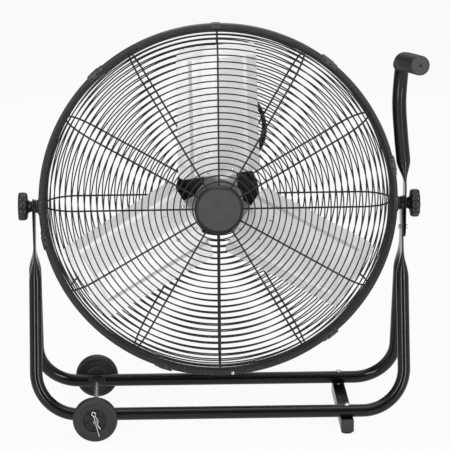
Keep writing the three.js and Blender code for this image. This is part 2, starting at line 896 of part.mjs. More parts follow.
function cordTail() {
  const start = hankEnd.clone().add(new THREE.Vector3(-gap, 0, 0));
  return cordStretch(start, new THREE.Vector3(plugX + gap, plugY, plugZ), X.clone().negate());
}

// A moulded plug lying on the motor, with two flat pins and an earth pin.
function mainsPlug() {
  const tip = plugX - plugLength;
  const pin = (y, z, height) => block(prongLength + 2, 1.6, height, tip - prongLength / 2 + 1, y, z);
  return join(
    block(plugLength, plugSize, plugSize, plugX - plugLength / 2, plugY, plugZ),
    pin(plugY - 6.3, plugZ + 3, 6.3),
    pin(plugY + 6.3, plugZ + 3, 6.3),
    block(prongLength + 2, 4.6, 4.6, tip - prongLength / 2 + 1, plugY, plugZ - 7),
  );
}

// A flat band round the top of the hank and one wire of the rear guard.
function cordTie() {
  const low = guardFace + ringOffset - ringWire / 2 - 1;
  const high = hankBack + cordRadius + gap;
  const half = cordRadius + 0.6;
  const wall = 1.2;
  const outer = block(4, high - low + 2 * wall, 2 * (half + wall), 0, (low + high) / 2, 0);
  const window = block(6, high - low, 2 * half, 0, (low + high) / 2, 0);
  return cut(outer, window).translate(hankX, 0, hankTop);
}

// ---------------------------------------------------------------- materials

const finish = (color, roughness, metalness) => (
  new THREE.MeshStandardMaterial({ color, roughness, metalness })
);
const paint = () => finish(0x17181a, 0.32, 0.2);
const guardPaint = () => finish(0x1c1d1f, 0.45, 0.2);
const hoopPaint = () => finish(0x37383a, 0.5, 0.2);
const blackPlastic = () => finish(0x3a3b3d, 0.6, 0);
const knobPlastic = () => finish(0x2c2d2f, 0.5, 0);
const blackRubber = () => finish(0x2a2a2b, 0.85, 0);
const cordRubber = () => finish(0x1d1d1e, 0.7, 0);
const aluminium = () => finish(0xdcdddd, 0.35, 0.9);
const zinc = () => finish(0xb4b7ba, 0.3, 0.9);
const steel = () => finish(0x8d9093, 0.35, 0.9);
const motorPaint = () => finish(0x121314, 0.5, 0.2);
const copper = () => finish(0x9a5a34, 0.45, 0.8);

// ---------------------------------------------------------------- assembly

function piece(parent, name, geometry, material, place = [0, 0, 0], turn = [0, 0, 0]) {
  const mesh = new THREE.Mesh(geometry, material);
  mesh.name = name;
  mesh.position.set(...place);
  mesh.rotation.set(...turn);
  parent.add(mesh);
}

const halfTurn = [0, 0, Math.PI];

function addCradle(parent) {
  piece(parent, 'front_base_tube', cradleTube(-1, frontTubeX), paint());
  piece(parent, 'rear_base_tube', cradleTube(1, rearTubeX), paint());
  piece(parent, 'handle_tube', handleTube(), paint());
  piece(parent, 'handle_grip', handleGrip(), blackRubber());
  const bolt = [0, 0, pivotHeight - handleBoltDrop];
  piece(parent, 'handle_bolt', handleBolt(), zinc(), bolt);
  piece(parent, 'handle_nut', handleNut(), zinc(), bolt);
}

function addFootBar(parent) {
  const middle = [footX, 0, 0];
  const skew = -Math.atan(footSlope);
  piece(parent, 'foot_bar', footBar(), paint(), middle, [0, 0, skew]);
  piece(parent, 'foot_bar_front_cap', footBarCap(), blackPlastic(), middle, [0, 0, skew]);
  piece(parent, 'foot_bar_rear_cap', footBarCap(), blackPlastic(), middle, [0, 0, skew + Math.PI]);
  const along = (y) => [footX + y * footSlope, y, 0];
  [['front', -1], ['rear', 1]].forEach(([end, side]) => {
    piece(parent, `foot_pad_${end}`, footPad(), blackRubber(), along(side * footPadY));
    piece(parent, `foot_screw_${end}`, footScrew(), zinc(), along(side * railY));
  });
}

function addWheels(parent) {
  piece(parent, 'wheel_axle', wheelAxle(), zinc(), [wheelX, 0, railHeight]);
  const saddleY = railY - tubeRadius - gap - 2;
  [['front', -1], ['rear', 1]].forEach(([end, side]) => {
    const turn = side < 0 ? halfTurn : [0, 0, 0];
    piece(parent, `${end}_wheel`, wheel(), blackPlastic(), [wheelX, side * wheelY, railHeight], turn);
    piece(parent, `${end}_axle_saddle`, axleSaddle(), paint(), [wheelX, side * saddleY, railHeight]);
    piece(parent, `${end}_wheel_clip`, wheelClip(), zinc(), [wheelX, side * clipY, railHeight]);
  });
}

function addCage(head) {
  piece(head, 'drum_band', drumBand(), hoopPaint());
  piece(head, 'front_guard', guard(frontGuardInner), guardPaint(), [0, 0, 0], halfTurn);
  piece(head, 'rear_guard', guard(rearGuardInner), guardPaint());
  piece(head, 'centre_cap', centreCap(), blackPlastic());
  clipAngles.forEach((angle, k) => {
    const turn = [0, radians(angle - 90), 0];
    piece(head, `rim_clip_${k + 1}`, hoopStrap(clipThickness, clipLength), hoopPaint(), [0, 0, 0], turn);
  });
}

function addPivots(head) {
  const level = [0, 0, -headLift];
  const leftFace = rearTubeX + stripThickness / 2 + gap;
  const rightFace = handleX + stripThickness / 2 + gap;
  [['left', leftFace, halfTurn], ['right', rightFace, [0, 0, 0]]].forEach(([side, face, turn]) => {
    const sign = side === 'left' ? -1 : 1;
    piece(head, `${side}_pivot_bracket`, pivotBracket(), hoopPaint(), level, turn);
    piece(head, `${side}_pivot_spacer`, pivotSpacer(), knobPlastic(), level, turn);
    piece(head, `${side}_pivot_bolt`, pivotBolt(face), zinc(), level, turn);
    piece(head, `${side}_knob`, clampKnob(), knobPlastic(), [sign * face, 0, -headLift], turn);
  });
}

function addMotor(head) {
  piece(head, 'motor_mount_plate', mountPlate(), motorPaint());
  piece(head, 'motor_front_shell', motorFrontShell(), motorPaint());
  piece(head, 'motor_rear_shell', motorRearShell(), motorPaint());
  piece(head, 'motor_stator', stator(), copper());
  piece(head, 'front_bearing', bearing(motorY + 3 + gap), steel());
  piece(head, 'rear_bearing', bearing(motorEnd - 3 - gap - bearingWidth), steel());
  piece(head, 'control_box', controlBox(), knobPlastic());
  piece(head, 'speed_knob', speedKnob(), knobPlastic(), [0, boxY + boxDepth + gap, 0]);
}

function addRotor(head) {
  piece(head, 'motor_shaft', motorShaft(), steel());
  piece(head, 'motor_rotor', rotorCore(), steel());
  const rest = radians(rotorRest);
  piece(head, 'blade_spider', bladeSpider(), aluminium(), [0, 0, 0], [0, rest, 0]);
  piece(head, 'shaft_nut', shaftNut(), zinc());
  for (let k = 0; k < 3; k += 1) {
    const turn = [0, rest + (2 * Math.PI * k) / 3, 0];
    piece(head, `blade_${k + 1}`, blade(), aluminium(), [0, 0, 0], turn);
  }
}

function addCord(head) {
  piece(head, 'cord_gland', cordGland(), cordRubber(), [glandX, glandY, 0]);
  piece(head, 'cord_lead', cordLead(), cordRubber());
  piece(head, 'cord_hank', cordHank(), cordRubber());
  piece(head, 'cord_tail', cordTail(), cordRubber());
  piece(head, 'cord_tie', cordTie(), cordRubber());
  piece(head, 'mains_plug', mainsPlug(), cordRubber());
}

function drumFan() {
  const fan = new THREE.Group();
  addCradle(fan);
  addFootBar(fan);
  addWheels(fan);
  const head = new THREE.Group();
  head.position.set(0, 0, headHeight);
  fan.add(head);
  addCage(head);
  addPivots(head);
  addMotor(head);
  addRotor(head);
  addCord(head);
  fan.updateMatrixWorld(true);
  const box = new THREE.Box3().setFromObject(fan, true);
  const middle = box.getCenter(new THREE.Vector3());
  fan.position.set(-middle.x, -middle.y, -box.min.z);
  return fan;
}

export default drumFan();
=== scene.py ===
# Looks of the drum fan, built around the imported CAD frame. Sizes are in millimetres as in part.mjs
# (z = 0 on the floor, the fan faces -Y). piece() and world() bring them into the frame in metres.
import math

import bmesh
import bpy
import numpy as np
from mathutils import Matrix, Vector

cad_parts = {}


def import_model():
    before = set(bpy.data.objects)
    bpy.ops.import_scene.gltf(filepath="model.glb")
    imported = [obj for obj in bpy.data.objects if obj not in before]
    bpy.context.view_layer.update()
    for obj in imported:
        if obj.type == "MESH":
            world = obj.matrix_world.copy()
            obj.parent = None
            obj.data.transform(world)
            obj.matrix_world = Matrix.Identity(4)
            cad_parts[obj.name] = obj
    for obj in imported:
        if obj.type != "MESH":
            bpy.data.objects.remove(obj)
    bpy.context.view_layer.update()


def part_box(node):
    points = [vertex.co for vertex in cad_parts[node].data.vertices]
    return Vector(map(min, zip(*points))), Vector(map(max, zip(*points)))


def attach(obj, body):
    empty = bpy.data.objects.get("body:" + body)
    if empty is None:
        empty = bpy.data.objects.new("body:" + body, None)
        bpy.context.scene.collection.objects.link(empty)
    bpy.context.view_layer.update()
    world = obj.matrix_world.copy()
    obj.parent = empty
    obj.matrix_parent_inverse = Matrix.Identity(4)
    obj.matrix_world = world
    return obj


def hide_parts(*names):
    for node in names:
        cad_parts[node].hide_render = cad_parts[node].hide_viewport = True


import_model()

hoop_low, hoop_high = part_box("drum_band")
SHIFT = np.array([500 * (hoop_low.x + hoop_high.x), 500 * (hoop_low.y + hoop_high.y), 0.0])

GAP = 0.3                      # clearance between neighbouring parts
HEAD = 425.5                   # height of the hoop's centre
PIVOT = 420.0                  # height of the tilt axis
RAIL_Y, RAIL_Z = 110.5, 42.0   # middle line of the rails
RING_PITCH = 11.9              # from one turn of guard wire to the next


# ---------------- mesh helpers

def world(point):
    return tuple((np.array(point, float) + SHIFT) / 1000)


def circle(radius, sides):
    angle = 2 * np.pi * (np.arange(sides) + 0.5) / sides
    return np.stack([radius * np.cos(angle), radius * np.sin(angle)], 1)


def skin(rings, endless=False):
    """Joins rings of points, with a cap on each end unless they close on themselves."""
    count = len(rings[0])
    verts = np.concatenate(rings)
    spans = len(rings) if endless else len(rings) - 1
    faces = []
    for i in range(spans):
        a, b = i * count, ((i + 1) % len(rings)) * count
        faces += [(a + j, a + (j + 1) % count, b + (j + 1) % count, b + j) for j in range(count)]
    if not endless:
        end = (len(rings) - 1) * count
        faces += [tuple(reversed(range(count))), tuple(range(end, end + count))]
    return verts, faces


def thin_sheet(rows, columns):
    """Joins two grids of points, the rows of one side and then of the other, into a closed sheet."""
    count = len(rows) // 2
    size = count * columns
    faces = []
    for base, step in ((0, 1), (size, -1)):
        for i in range(count - 1):
            for j in range(columns - 1):
                a = base + i * columns + j
                faces.append((a, a + 1, a + 1 + columns, a + columns)[::step])
    edge = list(range(columns)) + [i * columns + columns - 1 for i in range(1, count)]
    edge += [(count - 1) * columns + j for j in range(columns - 2, -1, -1)]
    edge += [i * columns for i in range(count - 2, 0, -1)]
    faces += [(a, a + size, b + size, b) for a, b in zip(edge, edge[1:] + edge[:1])]
    return np.concatenate(rows), faces


def carry(points, directions, section, side):
    """A ring at each point: section(i) gives its [a, b] outline, a along the carried side."""
    u = np.array(side, float)
    rings = []
    for i, (point, along) in enumerate(zip(points, directions)):
        along = along / np.linalg.norm(along)
        u = u - u.dot(along) * along
        u = u / np.linalg.norm(u)
        outline = section(i)
        rings.append(point + outline[:, :1] * u + outline[:, 1:] * np.cross(along, u))
    return rings


def sweep(points, section, side, endless=False):
    points = np.array(points, float)
    first, last = points[:1], points[-1:]
    padded = np.vstack([last, points, first] if endless else [first, points, last])
    return skin(carry(points, padded[2:] - padded[:-2], section, side), endless)


def tube(points, radius, sides, side=(1, 0, 0)):
    outline = circle(radius, sides)
    return sweep(points, lambda i: outline, side)


def lathe(profile, sides=48, lobes=None):
    """Turns (radius, y) points about Y. A profile that starts off the axis closes on itself."""
    on_axis = profile[0][0] == 0
    angle = 2 * np.pi * np.arange(sides) / sides
    verts, rows = [], []
    for radius, y in profile:
        if radius == 0:
            rows.append([len(verts)])
            verts.append((0, y, 0))
            continue
        rows.append(list(range(len(verts), len(verts) + sides)))
        reach = lobes(radius, angle) if lobes else radius * np.ones(sides)
        verts += list(zip(reach * np.cos(angle), y * np.ones(sides), reach * np.sin(angle)))
    pairs = list(zip(rows, rows[1:])) + ([] if on_axis else [(rows[-1], rows[0])])
    faces = []
    for first, second in pairs:
        for j in range(sides):
            k = (j + 1) % sides
            ring = [first[j % len(first)], second[j % len(second)]]
            ring += [second[k % len(second)], first[k % len(first)]]
            faces.append(tuple(dict.fromkeys(ring)))
    return np.array(verts, float), faces


def rod(radius, start, end, sides=24, edge=0.4):
    return lathe([(0, start), (radius - edge, start), (radius, start + edge),
                  (radius, end - edge), (radius - edge, end), (0, end)], sides)


def moved(part, x=0, y=0, z=0):
    return part[0] + np.array([x, y, z], float), part[1]


def turned(part, axis, degrees):
    matrix = np.array(Matrix.Rotation(math.radians(degrees), 3, axis))
    return part[0] @ matrix.T, part[1]


def merged(*parts):
    verts, faces, base = [], [], 0
    for part in parts:
        verts.append(part[0])
        faces += [tuple(base + i for i in face) for face in part[1]]
        base += len(part[0])
    return np.concatenate(verts), faces


def bevelled(part, width, segments=3, angle=35):
    bm = bmesh.new()
    made = [bm.verts.new(v) for v in part[0]]
    for face in part[1]:
        bm.faces.new([made[i] for i in face])
    bmesh.ops.recalc_face_normals(bm, faces=bm.faces)
    limit = math.radians(angle)
    edges = [e for e in bm.edges if len(e.link_faces) == 2 and e.calc_face_angle(0) > limit]
    bmesh.ops.bevel(bm, geom=edges, offset=width, segments=segments, profile=0.5,
                    affect="EDGES", clamp_overlap=True)
    bm.verts.index_update()
    verts = np.array([v.co for v in bm.verts], float)
    faces = [tuple(v.index for v in f.verts) for f in bm.faces]
    bm.free()
    return verts, faces


def block(width, depth, height, edge=1.0, x=0, y=0, z=0):
    corners = np.array([(i, j, k) for i in (-1, 1) for j in (-1, 1) for k in (-1, 1)], float)
    verts = corners * np.array([width, depth, height]) / 2
    faces = [(0, 1, 3, 2), (4, 6, 7, 5), (0, 4, 5, 1), (2, 3, 7, 6), (0, 2, 6, 4), (1, 5, 7, 3)]
    return moved(bevelled((verts, faces), edge), x, y, z)


def prism(outline, low_y, high_y, edge=0.5):
    """An outline of (x, z) points, raised along Y, with eased edges."""
    count = len(outline)
    verts = np.array([(x, y, z) for y in (low_y, high_y) for x, z in outline], float)
    faces = [tuple(range(count)), tuple(reversed(range(count, 2 * count)))]
    faces += [(j, j + count, (j + 1) % count + count, (j + 1) % count) for j in range(count)]
    return bevelled((verts, faces), edge, 2) if edge else (verts, faces)


def lerp(a, b, share):
    return a + (b - a) * share


def smoothstep(value, start, end):
    share = np.clip((value - start) / (end - start), 0, 1)
    return share * share * (3 - 2 * share)


def catmull(points, steps):
    """A smooth curve through the points."""
    p = np.array(points, float)
    p = np.vstack([2 * p[0] - p[1], p, 2 * p[-1] - p[-2]])
    out = []
    for k in range(steps + 1):
        at = k / steps * (len(p) - 3)
        i = min(int(at), len(p) - 4)
        t = at - i
        q = p[i:i + 4]
        d = [max(np.linalg.norm(q[j + 1] - q[j]) ** 0.5, 1e-4) for j in range(3)]
        t1 = (q[1] - q[0]) / d[0] - (q[2] - q[0]) / (d[0] + d[1]) + (q[2] - q[1]) / d[1]
        t2 = (q[2] - q[1]) / d[1] - (q[3] - q[1]) / (d[1] + d[2]) + (q[3] - q[2]) / d[2]
        t1, t2 = t1 * d[1], t2 * d[1]
        c2 = -3 * q[1] + 3 * q[2] - 2 * t1 - t2
        c3 = 2 * q[1] - 2 * q[2] + t1 + t2
        out.append(q[1] + t1 * t + c2 * t * t + c3 * t ** 3)
    return np.array(out)


# ---------------- materials

class Graph:
    """The nodes of one material or world."""

    def __init__(self, owner):
        owner.use_nodes = True
        self.nodes, self.links = owner.node_tree.nodes, owner.node_tree.links

    def fill(self, node, values):
        """Sets inputs by name or number, and links those whose value is a socket."""
        for key, value in values.items():
            if isinstance(value, bpy.types.NodeSocket):
                self.links.new(value, node.inputs[key])
            else:
                node.inputs[key].default_value = value

    def add(self, kind, values, out=0, **settings):
        """Adds a node and gives one of its outputs."""
        node = self.nodes.new("ShaderNode" + kind)
        for key, value in settings.items():
            setattr(node, key, value)
        self.fill(node, values)
        return node.outputs[out]


NOISE_LOW, NOISE_HIGH = 0.3, 0.7    # the part of a noise's range that shows
GRAIN_DEPTH = 0.0005                # metres, at a bump strength of 1


def material(name, color, roughness, metallic=0.0, spread=0.05, tone=0.15, scale=60.0,
             bump=0.05, bump_scale=900.0, specular=0.5, stretch=(1, 1, 1)):
    """A finish with uneven colour, uneven roughness and a fine surface grain."""
    made = bpy.data.materials.new(name)
    graph = Graph(made)
    place = graph.add("TexCoord", {}, "Object")
    mapped = graph.add("Mapping", {"Vector": place, "Scale": stretch})
    broad = graph.add("TexNoise", {"Vector": mapped, "Scale": scale, "Detail": 4})
    fine = graph.add("TexNoise", {"Vector": mapped, "Scale": bump_scale, "Detail": 2})
    tones = graph.add("ValToRGB", {"Fac": broad})
    for element, at, share in zip(tones.node.color_ramp.elements, (NOISE_LOW, NOISE_HIGH),
                                  (1 - tone, 1 + tone)):
        element.position = at
        element.color = (*[min(c * share, 1) for c in color], 1)
    rough = graph.add("MapRange", {
        "Value": broad, "From Min": NOISE_LOW, "From Max": NOISE_HIGH,
        "To Min": max(roughness - spread, 0.03), "To Max": min(roughness + spread, 1)})
    grain = graph.add("Bump", {"Strength": bump, "Distance": GRAIN_DEPTH, "Height": fine})
    graph.fill(graph.nodes["Principled BSDF"], {
        "Base Color": tones, "Roughness": rough, "Normal": grain, "Metallic": metallic,
        "Specular IOR Level": specular})
    return made


GLOSS = material("gloss_black_coat", (0.0045, 0.0045, 0.005), 0.16, spread=0.005, bump=0.001,
                 bump_scale=300, specular=0.38)
WIRE = material("satin_black_wire", (0.014, 0.014, 0.015), 0.38, bump=0.06, specular=0.35)
HOOP = material("satin_grey_hoop", (0.033, 0.033, 0.034), 0.42, bump=0.08, specular=0.35)
CLIP = material("satin_grey_clip", (0.055, 0.055, 0.056), 0.42, bump=0.08, specular=0.35)
CAP = material("grained_cap", (0.052, 0.052, 0.053), 0.55, bump=0.25, bump_scale=1400, specular=0.3)
WHEEL = material("moulded_wheel", (0.026, 0.026, 0.027), 0.45, bump=0.2, bump_scale=1200, specular=0.35)
KNOB = material("moulded_knob", (0.009, 0.009, 0.0095), 0.33, bump=0.12, bump_scale=1200)
FOAM = material("grip_foam", (0.019, 0.019, 0.020), 0.55, bump=0.03, bump_scale=500, specular=0.22)
RUBBER = material("black_rubber", (0.024, 0.024, 0.024), 0.75, bump=0.25, bump_scale=900, specular=0.3)
CORD = material("cord_jacket", (0.014, 0.014, 0.015), 0.5, bump=0.1, specular=0.4)
ZINC = material("bright_zinc", (0.70, 0.71, 0.72), 0.24, metallic=1, tone=0.08, bump=0.06, bump_scale=300)
SPIDER = material("spider_steel", (0.42, 0.42, 0.43), 0.42, metallic=1, tone=0.06, bump=0.05,
                  bump_scale=400)
MOTOR = material("motor_black", (0.006, 0.006, 0.0065), 0.42, bump=0.12, specular=0.22)
DULL = material("dull_zinc", (0.34, 0.34, 0.345), 0.45, metallic=1, tone=0.15, bump=0.1, bump_scale=300)
STEEL = material("ground_steel", (0.52, 0.53, 0.54), 0.3, metallic=1, tone=0.1, bump=0.06,
                 bump_scale=600, stretch=(1, 0.1, 1))
COPPER = material("copper_winding", (0.60, 0.28, 0.12), 0.4, metallic=0.9, tone=0.25, bump=0.4,
                  bump_scale=500, stretch=(1, 6, 1))
PRINT = material("dial_print", (0.80, 0.80, 0.78), 0.6, tone=0.03, bump=0.05)


def ramp_stops(ramp, stops):
    """Sets a colour ramp to (position, grey) stops."""
    while len(ramp.elements) < len(stops):
        ramp.elements.new(0.5)
    for element, (position, grey) in zip(ramp.elements, stops):
        element.position = position
        element.color = (grey, grey, grey * 1.005, 1)


# Painted light and shade across an upright blade, from its left edge to its right as the front shows it: a
# lit margin, painted shade in the groove, the pressed panel's lit and shaded halves, a painted highlight on
# the fold, and a shaded margin.
BLADE_PAINTED_LIGHT_AND_SHADE = (
    (0.0, 0.93), (0.165, 0.96), (0.178, 0.60), (0.205, 0.52), (0.218, 0.98), (0.34, 1.0),
    (0.37, 0.90), (0.48, 0.88), (0.52, 0.76), (0.78, 0.79), (0.812, 1.0), (0.828, 1.0),
    (0.85, 0.70), (1.0, 0.76))
# Painted shade on each blade's right half at rest: below 1 darker, above 1 lighter, as the light falls on
# that blade.
RIGHT_HALF_PAINTED_SHADE = (0.82, 1.09, 0.88)    # top, lower right and lower left blade at rest
TONE_LEFT, TONE_RIGHT = -0.080, 0.085    # metres, where the tones begin and end
TONE_LEAN = -0.018                       # how the tones' lines lean with the radius
PANEL_END, TIP_START = 0.2745, 0.2785    # metres from the shaft
# The painted shade of the tip, past the pressed panel.
TIP_PAINTED_SHADE = (0.84, 0.84, 0.845, 1)


def blade_finish_with_painted_shade(name, turn, right_painted_shade):
    """Rolled aluminium with painted light and shade across the blade and its pressed panel, in the blade's
    own x and radius.
    """
    made = material(name, (1, 1, 1), 0.46, metallic=0.35, tone=0, scale=40, bump_scale=260)
    graph = Graph(made)
    place = graph.add("TexCoord", {}, "Object")
    local = graph.add("Mapping", {"Vector": place, "Location": world((0, 0, HEAD)),
                                  "Rotation": (0, math.radians(turn), 0)}, vector_type="TEXTURE")
    axes = graph.add("SeparateXYZ", {0: local}).node.outputs
    lean = graph.add("Math", {0: axes["Z"], 1: TONE_LEAN, 2: axes["X"]}, operation="MULTIPLY_ADD")
    across = graph.add("MapRange", {"Value": lean, "From Min": TONE_LEFT, "From Max": TONE_RIGHT})
    # The ramp paints the light and shade; its right half is scaled by the blade's own painted shade.
    tones = graph.add("ValToRGB", {"Fac": across})
    ramp_stops(tones.node.color_ramp, [(at, tone * (right_painted_shade if at > 0.5 else 1))
                                       for at, tone in BLADE_PAINTED_LIGHT_AND_SHADE])
    # Past the panel the painted light and shade gives way to the tip's plain painted shade.
    tip = graph.add("MapRange", {"Value": axes["Z"], "From Min": PANEL_END, "From Max": TIP_START})
    plain = graph.add("Mix", {"Factor": tip, "A": tones, "B": TIP_PAINTED_SHADE}, "Result", data_type="RGBA")
    streaks = graph.add("Mapping", {"Vector": local, "Scale": (1, 1, 0.08)})
    rolled = graph.add("TexNoise", {"Vector": streaks, "Scale": 300, "Detail": 3})
    mark = graph.add("MapRange", {"Value": rolled, "To Min": 0.94, "To Max": 1.06})
    tint = graph.add("VectorMath", {0: plain, "Scale": mark}, operation="SCALE")
    graph.fill(graph.nodes["Principled BSDF"], {"Base Color": tint})
    return made


# ---------------- pieces

def piece(name, part, finish, body, replaces=(), sharp=38):
    """An object of a part that rides on a body. Edges over sharp degrees stay sharp."""
    verts, faces = part
    mesh = bpy.data.meshes.new(name)
    mesh.from_pydata([tuple(v) for v in (verts + SHIFT) / 1000], [], faces)
    bm = bmesh.new()
    bm.from_mesh(mesh)
    bmesh.ops.remove_doubles(bm, verts=bm.verts, dist=1e-6)
    bmesh.ops.recalc_face_normals(bm, faces=bm.faces)
    limit = math.radians(sharp)
    for face in bm.faces:
        face.smooth = True
    for edge in bm.edges:
        edge.smooth = edge.calc_face_angle(0) < limit
    bm.to_mesh(mesh)
    bm.free()
    made = bpy.data.objects.new(name, mesh)
    bpy.context.scene.collection.objects.link(made)
    mesh.materials.append(finish)
    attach(made, body)
    if replaces:
        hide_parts(*replaces)
    return made


def head_piece(name, part, finish, replaces=(), sharp=38, body="cage"):
    """A piece whose heights are given from the hoop's centre."""
    return piece(name, moved(part, z=HEAD), finish, body, replaces, sharp)


# ---------------- camera

SENSOR = 36
LENS = 2382.96 / 450 * SENSOR    # the photo's focal length in pixels, over its width
CAMERA_AT = (-161.25, -4417.54, 1408.07)
PITCH, YAW, ROLL = math.radians(13.09), math.radians(2.25), math.radians(-0.108)


def add_camera():
    forward = Vector((math.sin(YAW) * math.cos(PITCH), math.cos(YAW) * math.cos(PITCH), -math.sin(PITCH)))
    right = Vector((math.cos(YAW), -math.sin(YAW), 0))
    up = right.cross(forward)
    across = math.cos(ROLL) * right + math.sin(ROLL) * up
    upward = -math.sin(ROLL) * right + math.cos(ROLL) * up
    data = bpy.data.cameras.new("camera")
    data.sensor_fit = "HORIZONTAL"
    data.sensor_width = SENSOR
    data.lens = LENS
    data.clip_end = 100
    made = bpy.data.objects.new("camera", data)
    turn = Matrix((across, upward, -forward)).transposed().to_4x4()
    made.matrix_world = Matrix.Translation(world(CAMERA_AT)) @ turn
    bpy.context.scene.collection.objects.link(made)
    bpy.context.scene.camera = made


add_camera()


# ---------------- cord, plug and tie

# Heights here are from the hoop's centre, as in the rest of the head.
CORD_R = 3.8
TURNS, COIL_PITCH, COIL_STEPS = 5.75, 8.2, 48
COIL_X, COIL_HALF_WIDTH, COIL_HALF_HEIGHT = 56.0, 37.0, 55.0
PLUG_X, PLUG_Y, PLUG_Z = 14.0, 86.5, 80.3
COIL_BACK = PLUG_Y + COIL_PITCH * TURNS
HANK_RING = (57.4 + RING_PITCH * 11) * math.cos(math.pi / 24)    # the wire that the hank hangs on
COIL_TOP = math.sqrt(HANK_RING ** 2 - COIL_X ** 2)
COIL_Z = COIL_TOP - COIL_HALF_HEIGHT
GLAND_X, GLAND_Y, GLAND_TOP = 14.0, 144.8, 54.3
TIE_FRONT, TIE_HALF, TIE_WALL, TIE_CORNER = 67.7, 4.4, 0.6, 3.0


def coil_point(turns):
    angle = 2 * math.pi * turns
    return np.array([COIL_X - COIL_HALF_WIDTH * math.cos(angle), COIL_BACK - COIL_PITCH * turns,
                     COIL_Z + COIL_HALF_HEIGHT * math.sin(angle)])


def stretch_of_cord(start, end, heading, steps=16):
    """A smooth S from one point to another that leaves and arrives along the heading."""
    heading = np.array(heading, float)
    first, last = start + CORD_R * heading, end - CORD_R * heading
    reach = heading * (last - first).dot(heading) / 2
    t = np.linspace(0, 1, steps + 1)[:, None]
    bezier = ((1 - t) ** 3 * first + 3 * (1 - t) ** 2 * t * (first + reach)
              + 3 * (1 - t) * t ** 2 * (last - reach) + t ** 3 * last)
    return [start, *bezier, end]


def cord_route():
    """From the gland up into the hank, round its turns, and out of it into the plug."""
    stub = 2 * CORD_R
    start = coil_point(0) - np.array([0, 0, stub])
    end = coil_point(TURNS) - np.array([stub, 0, 0])
    loops = [coil_point(k / COIL_STEPS) for k in range(int(COIL_STEPS * TURNS) + 1)]
    lead = stretch_of_cord(np.array([GLAND_X, GLAND_Y, GLAND_TOP]), start, (0, 0, 1))
    tail = stretch_of_cord(end, np.array([PLUG_X, PLUG_Y, PLUG_Z]), (-1, 0, 0))
    return np.array(lead + loops + tail) + np.array([0, 0, HEAD])


def plug_body():
    """A moulded plug along X, waisted for the fingers and ribbed towards the cord."""
    sides, round_from = 32, 3
    stations = [(-26, 11.2, 11.2), (-25, 12, 12), (-14, 12, 12), (-9, 10.4, 11), (-2, 9.6, 10.2),
                (2, 8.4, 8.8), (4, 7.2, 7.2)]
    for k in range(5):
        stations += [(4.4 + 2 * k, 6.6 - 0.3 * k, 6.6 - 0.3 * k), (5.4 + 2 * k, 5.2, 5.2)]
    unit = circle(1, sides)
    rings = []
    for x, half_y, half_z in stations:
        power = 0.5 if x < round_from else 1.0
        outline = np.sign(unit) * np.abs(unit) ** power * np.array([half_y, half_z])
        rings.append(np.column_stack([np.full(sides, float(x)), outline]))
    return skin(rings)


def tie_band(near, far):
    """A flat closed band about X, round everything between two depths, with its lock."""
    straight = TIE_HALF - TIE_CORNER
    reach = TIE_CORNER + TIE_WALL
    path = []
    for y, z, first in ((far - TIE_CORNER, straight, 0), (near + TIE_CORNER, straight, 90),
                        (near + TIE_CORNER, -straight, 180), (far - TIE_CORNER, -straight, 270)):
        for turn in np.radians(first + 15 * np.arange(7)):
            path.append((0, y + reach * math.cos(turn), z + reach * math.sin(turn)))
    outline = np.array([(-2, -TIE_WALL), (2, -TIE_WALL), (2, TIE_WALL), (-2, TIE_WALL)], float)
    band = sweep(path, lambda i: outline, (1, 0, 0), endless=True)
    return merged(band, block(6, 6, 5, 0.8, 0, far - 9, TIE_HALF + 2.6))


def add_cord():
    route = cord_route()
    cord = piece("cord", tube(route, CORD_R, 14, (0, 1, 0)), CORD, "cage",
                 ("cord_lead", "cord_hank", "cord_tail"))
    plug = head_piece("plug_moulding", moved(plug_body(), 0, PLUG_Y, PLUG_Z), CORD,
                      ("mains_plug",))
    prongs = merged(*[block(18, 1.6, 6.3, 0.3, -33, y, 3) for y in (-6.3, 6.3)],
                    moved(turned(rod(2.3, 0, 18, 20, 1.2), "Z", 90), -24, 0, -7))
    pins = head_piece("plug_pins", moved(prongs, 0, PLUG_Y, PLUG_Z), STEEL)
    band = tie_band(TIE_FRONT, COIL_BACK + CORD_R + GAP)
    tie = head_piece("cord_strap", moved(band, COIL_X, 0, COIL_TOP), CORD, ("cord_tie",))


add_cord()


# ---------------- cradle

TUBE_R, STRIP_T, STRIP_HALF = 12.0, 3.0, 19.0
STRIP_TOP, FLAT_END, ROUND_START, BEND_R = -13.5, 84, 142, 80
FRONT_X, REAR_X, HANDLE_X = 348.4, 351.7, 355.0
HANDLE_R, HANDLE_STRIP_HALF, HANDLE_FOOT = 13.5, 20, -66
HANDLE_SCREW_Z = PIVOT - 46.4
GRIP_R, GRIP_FROM, GRIP_TO = 18.5, -4.5, -103


def tube_section(radius, strip_half, flat, width=1.0, sides=44):
    """A round section that goes over to a flat strip as flat goes from 0 to 1."""
    unit = circle(1, sides)
    a = lerp(radius * unit[:, 0], STRIP_T / 2 * np.clip(3 * unit[:, 0], -1, 1), flat)
    b = lerp(radius * unit[:, 1], strip_half * width * unit[:, 1], flat)
    return np.stack([a, b], 1)


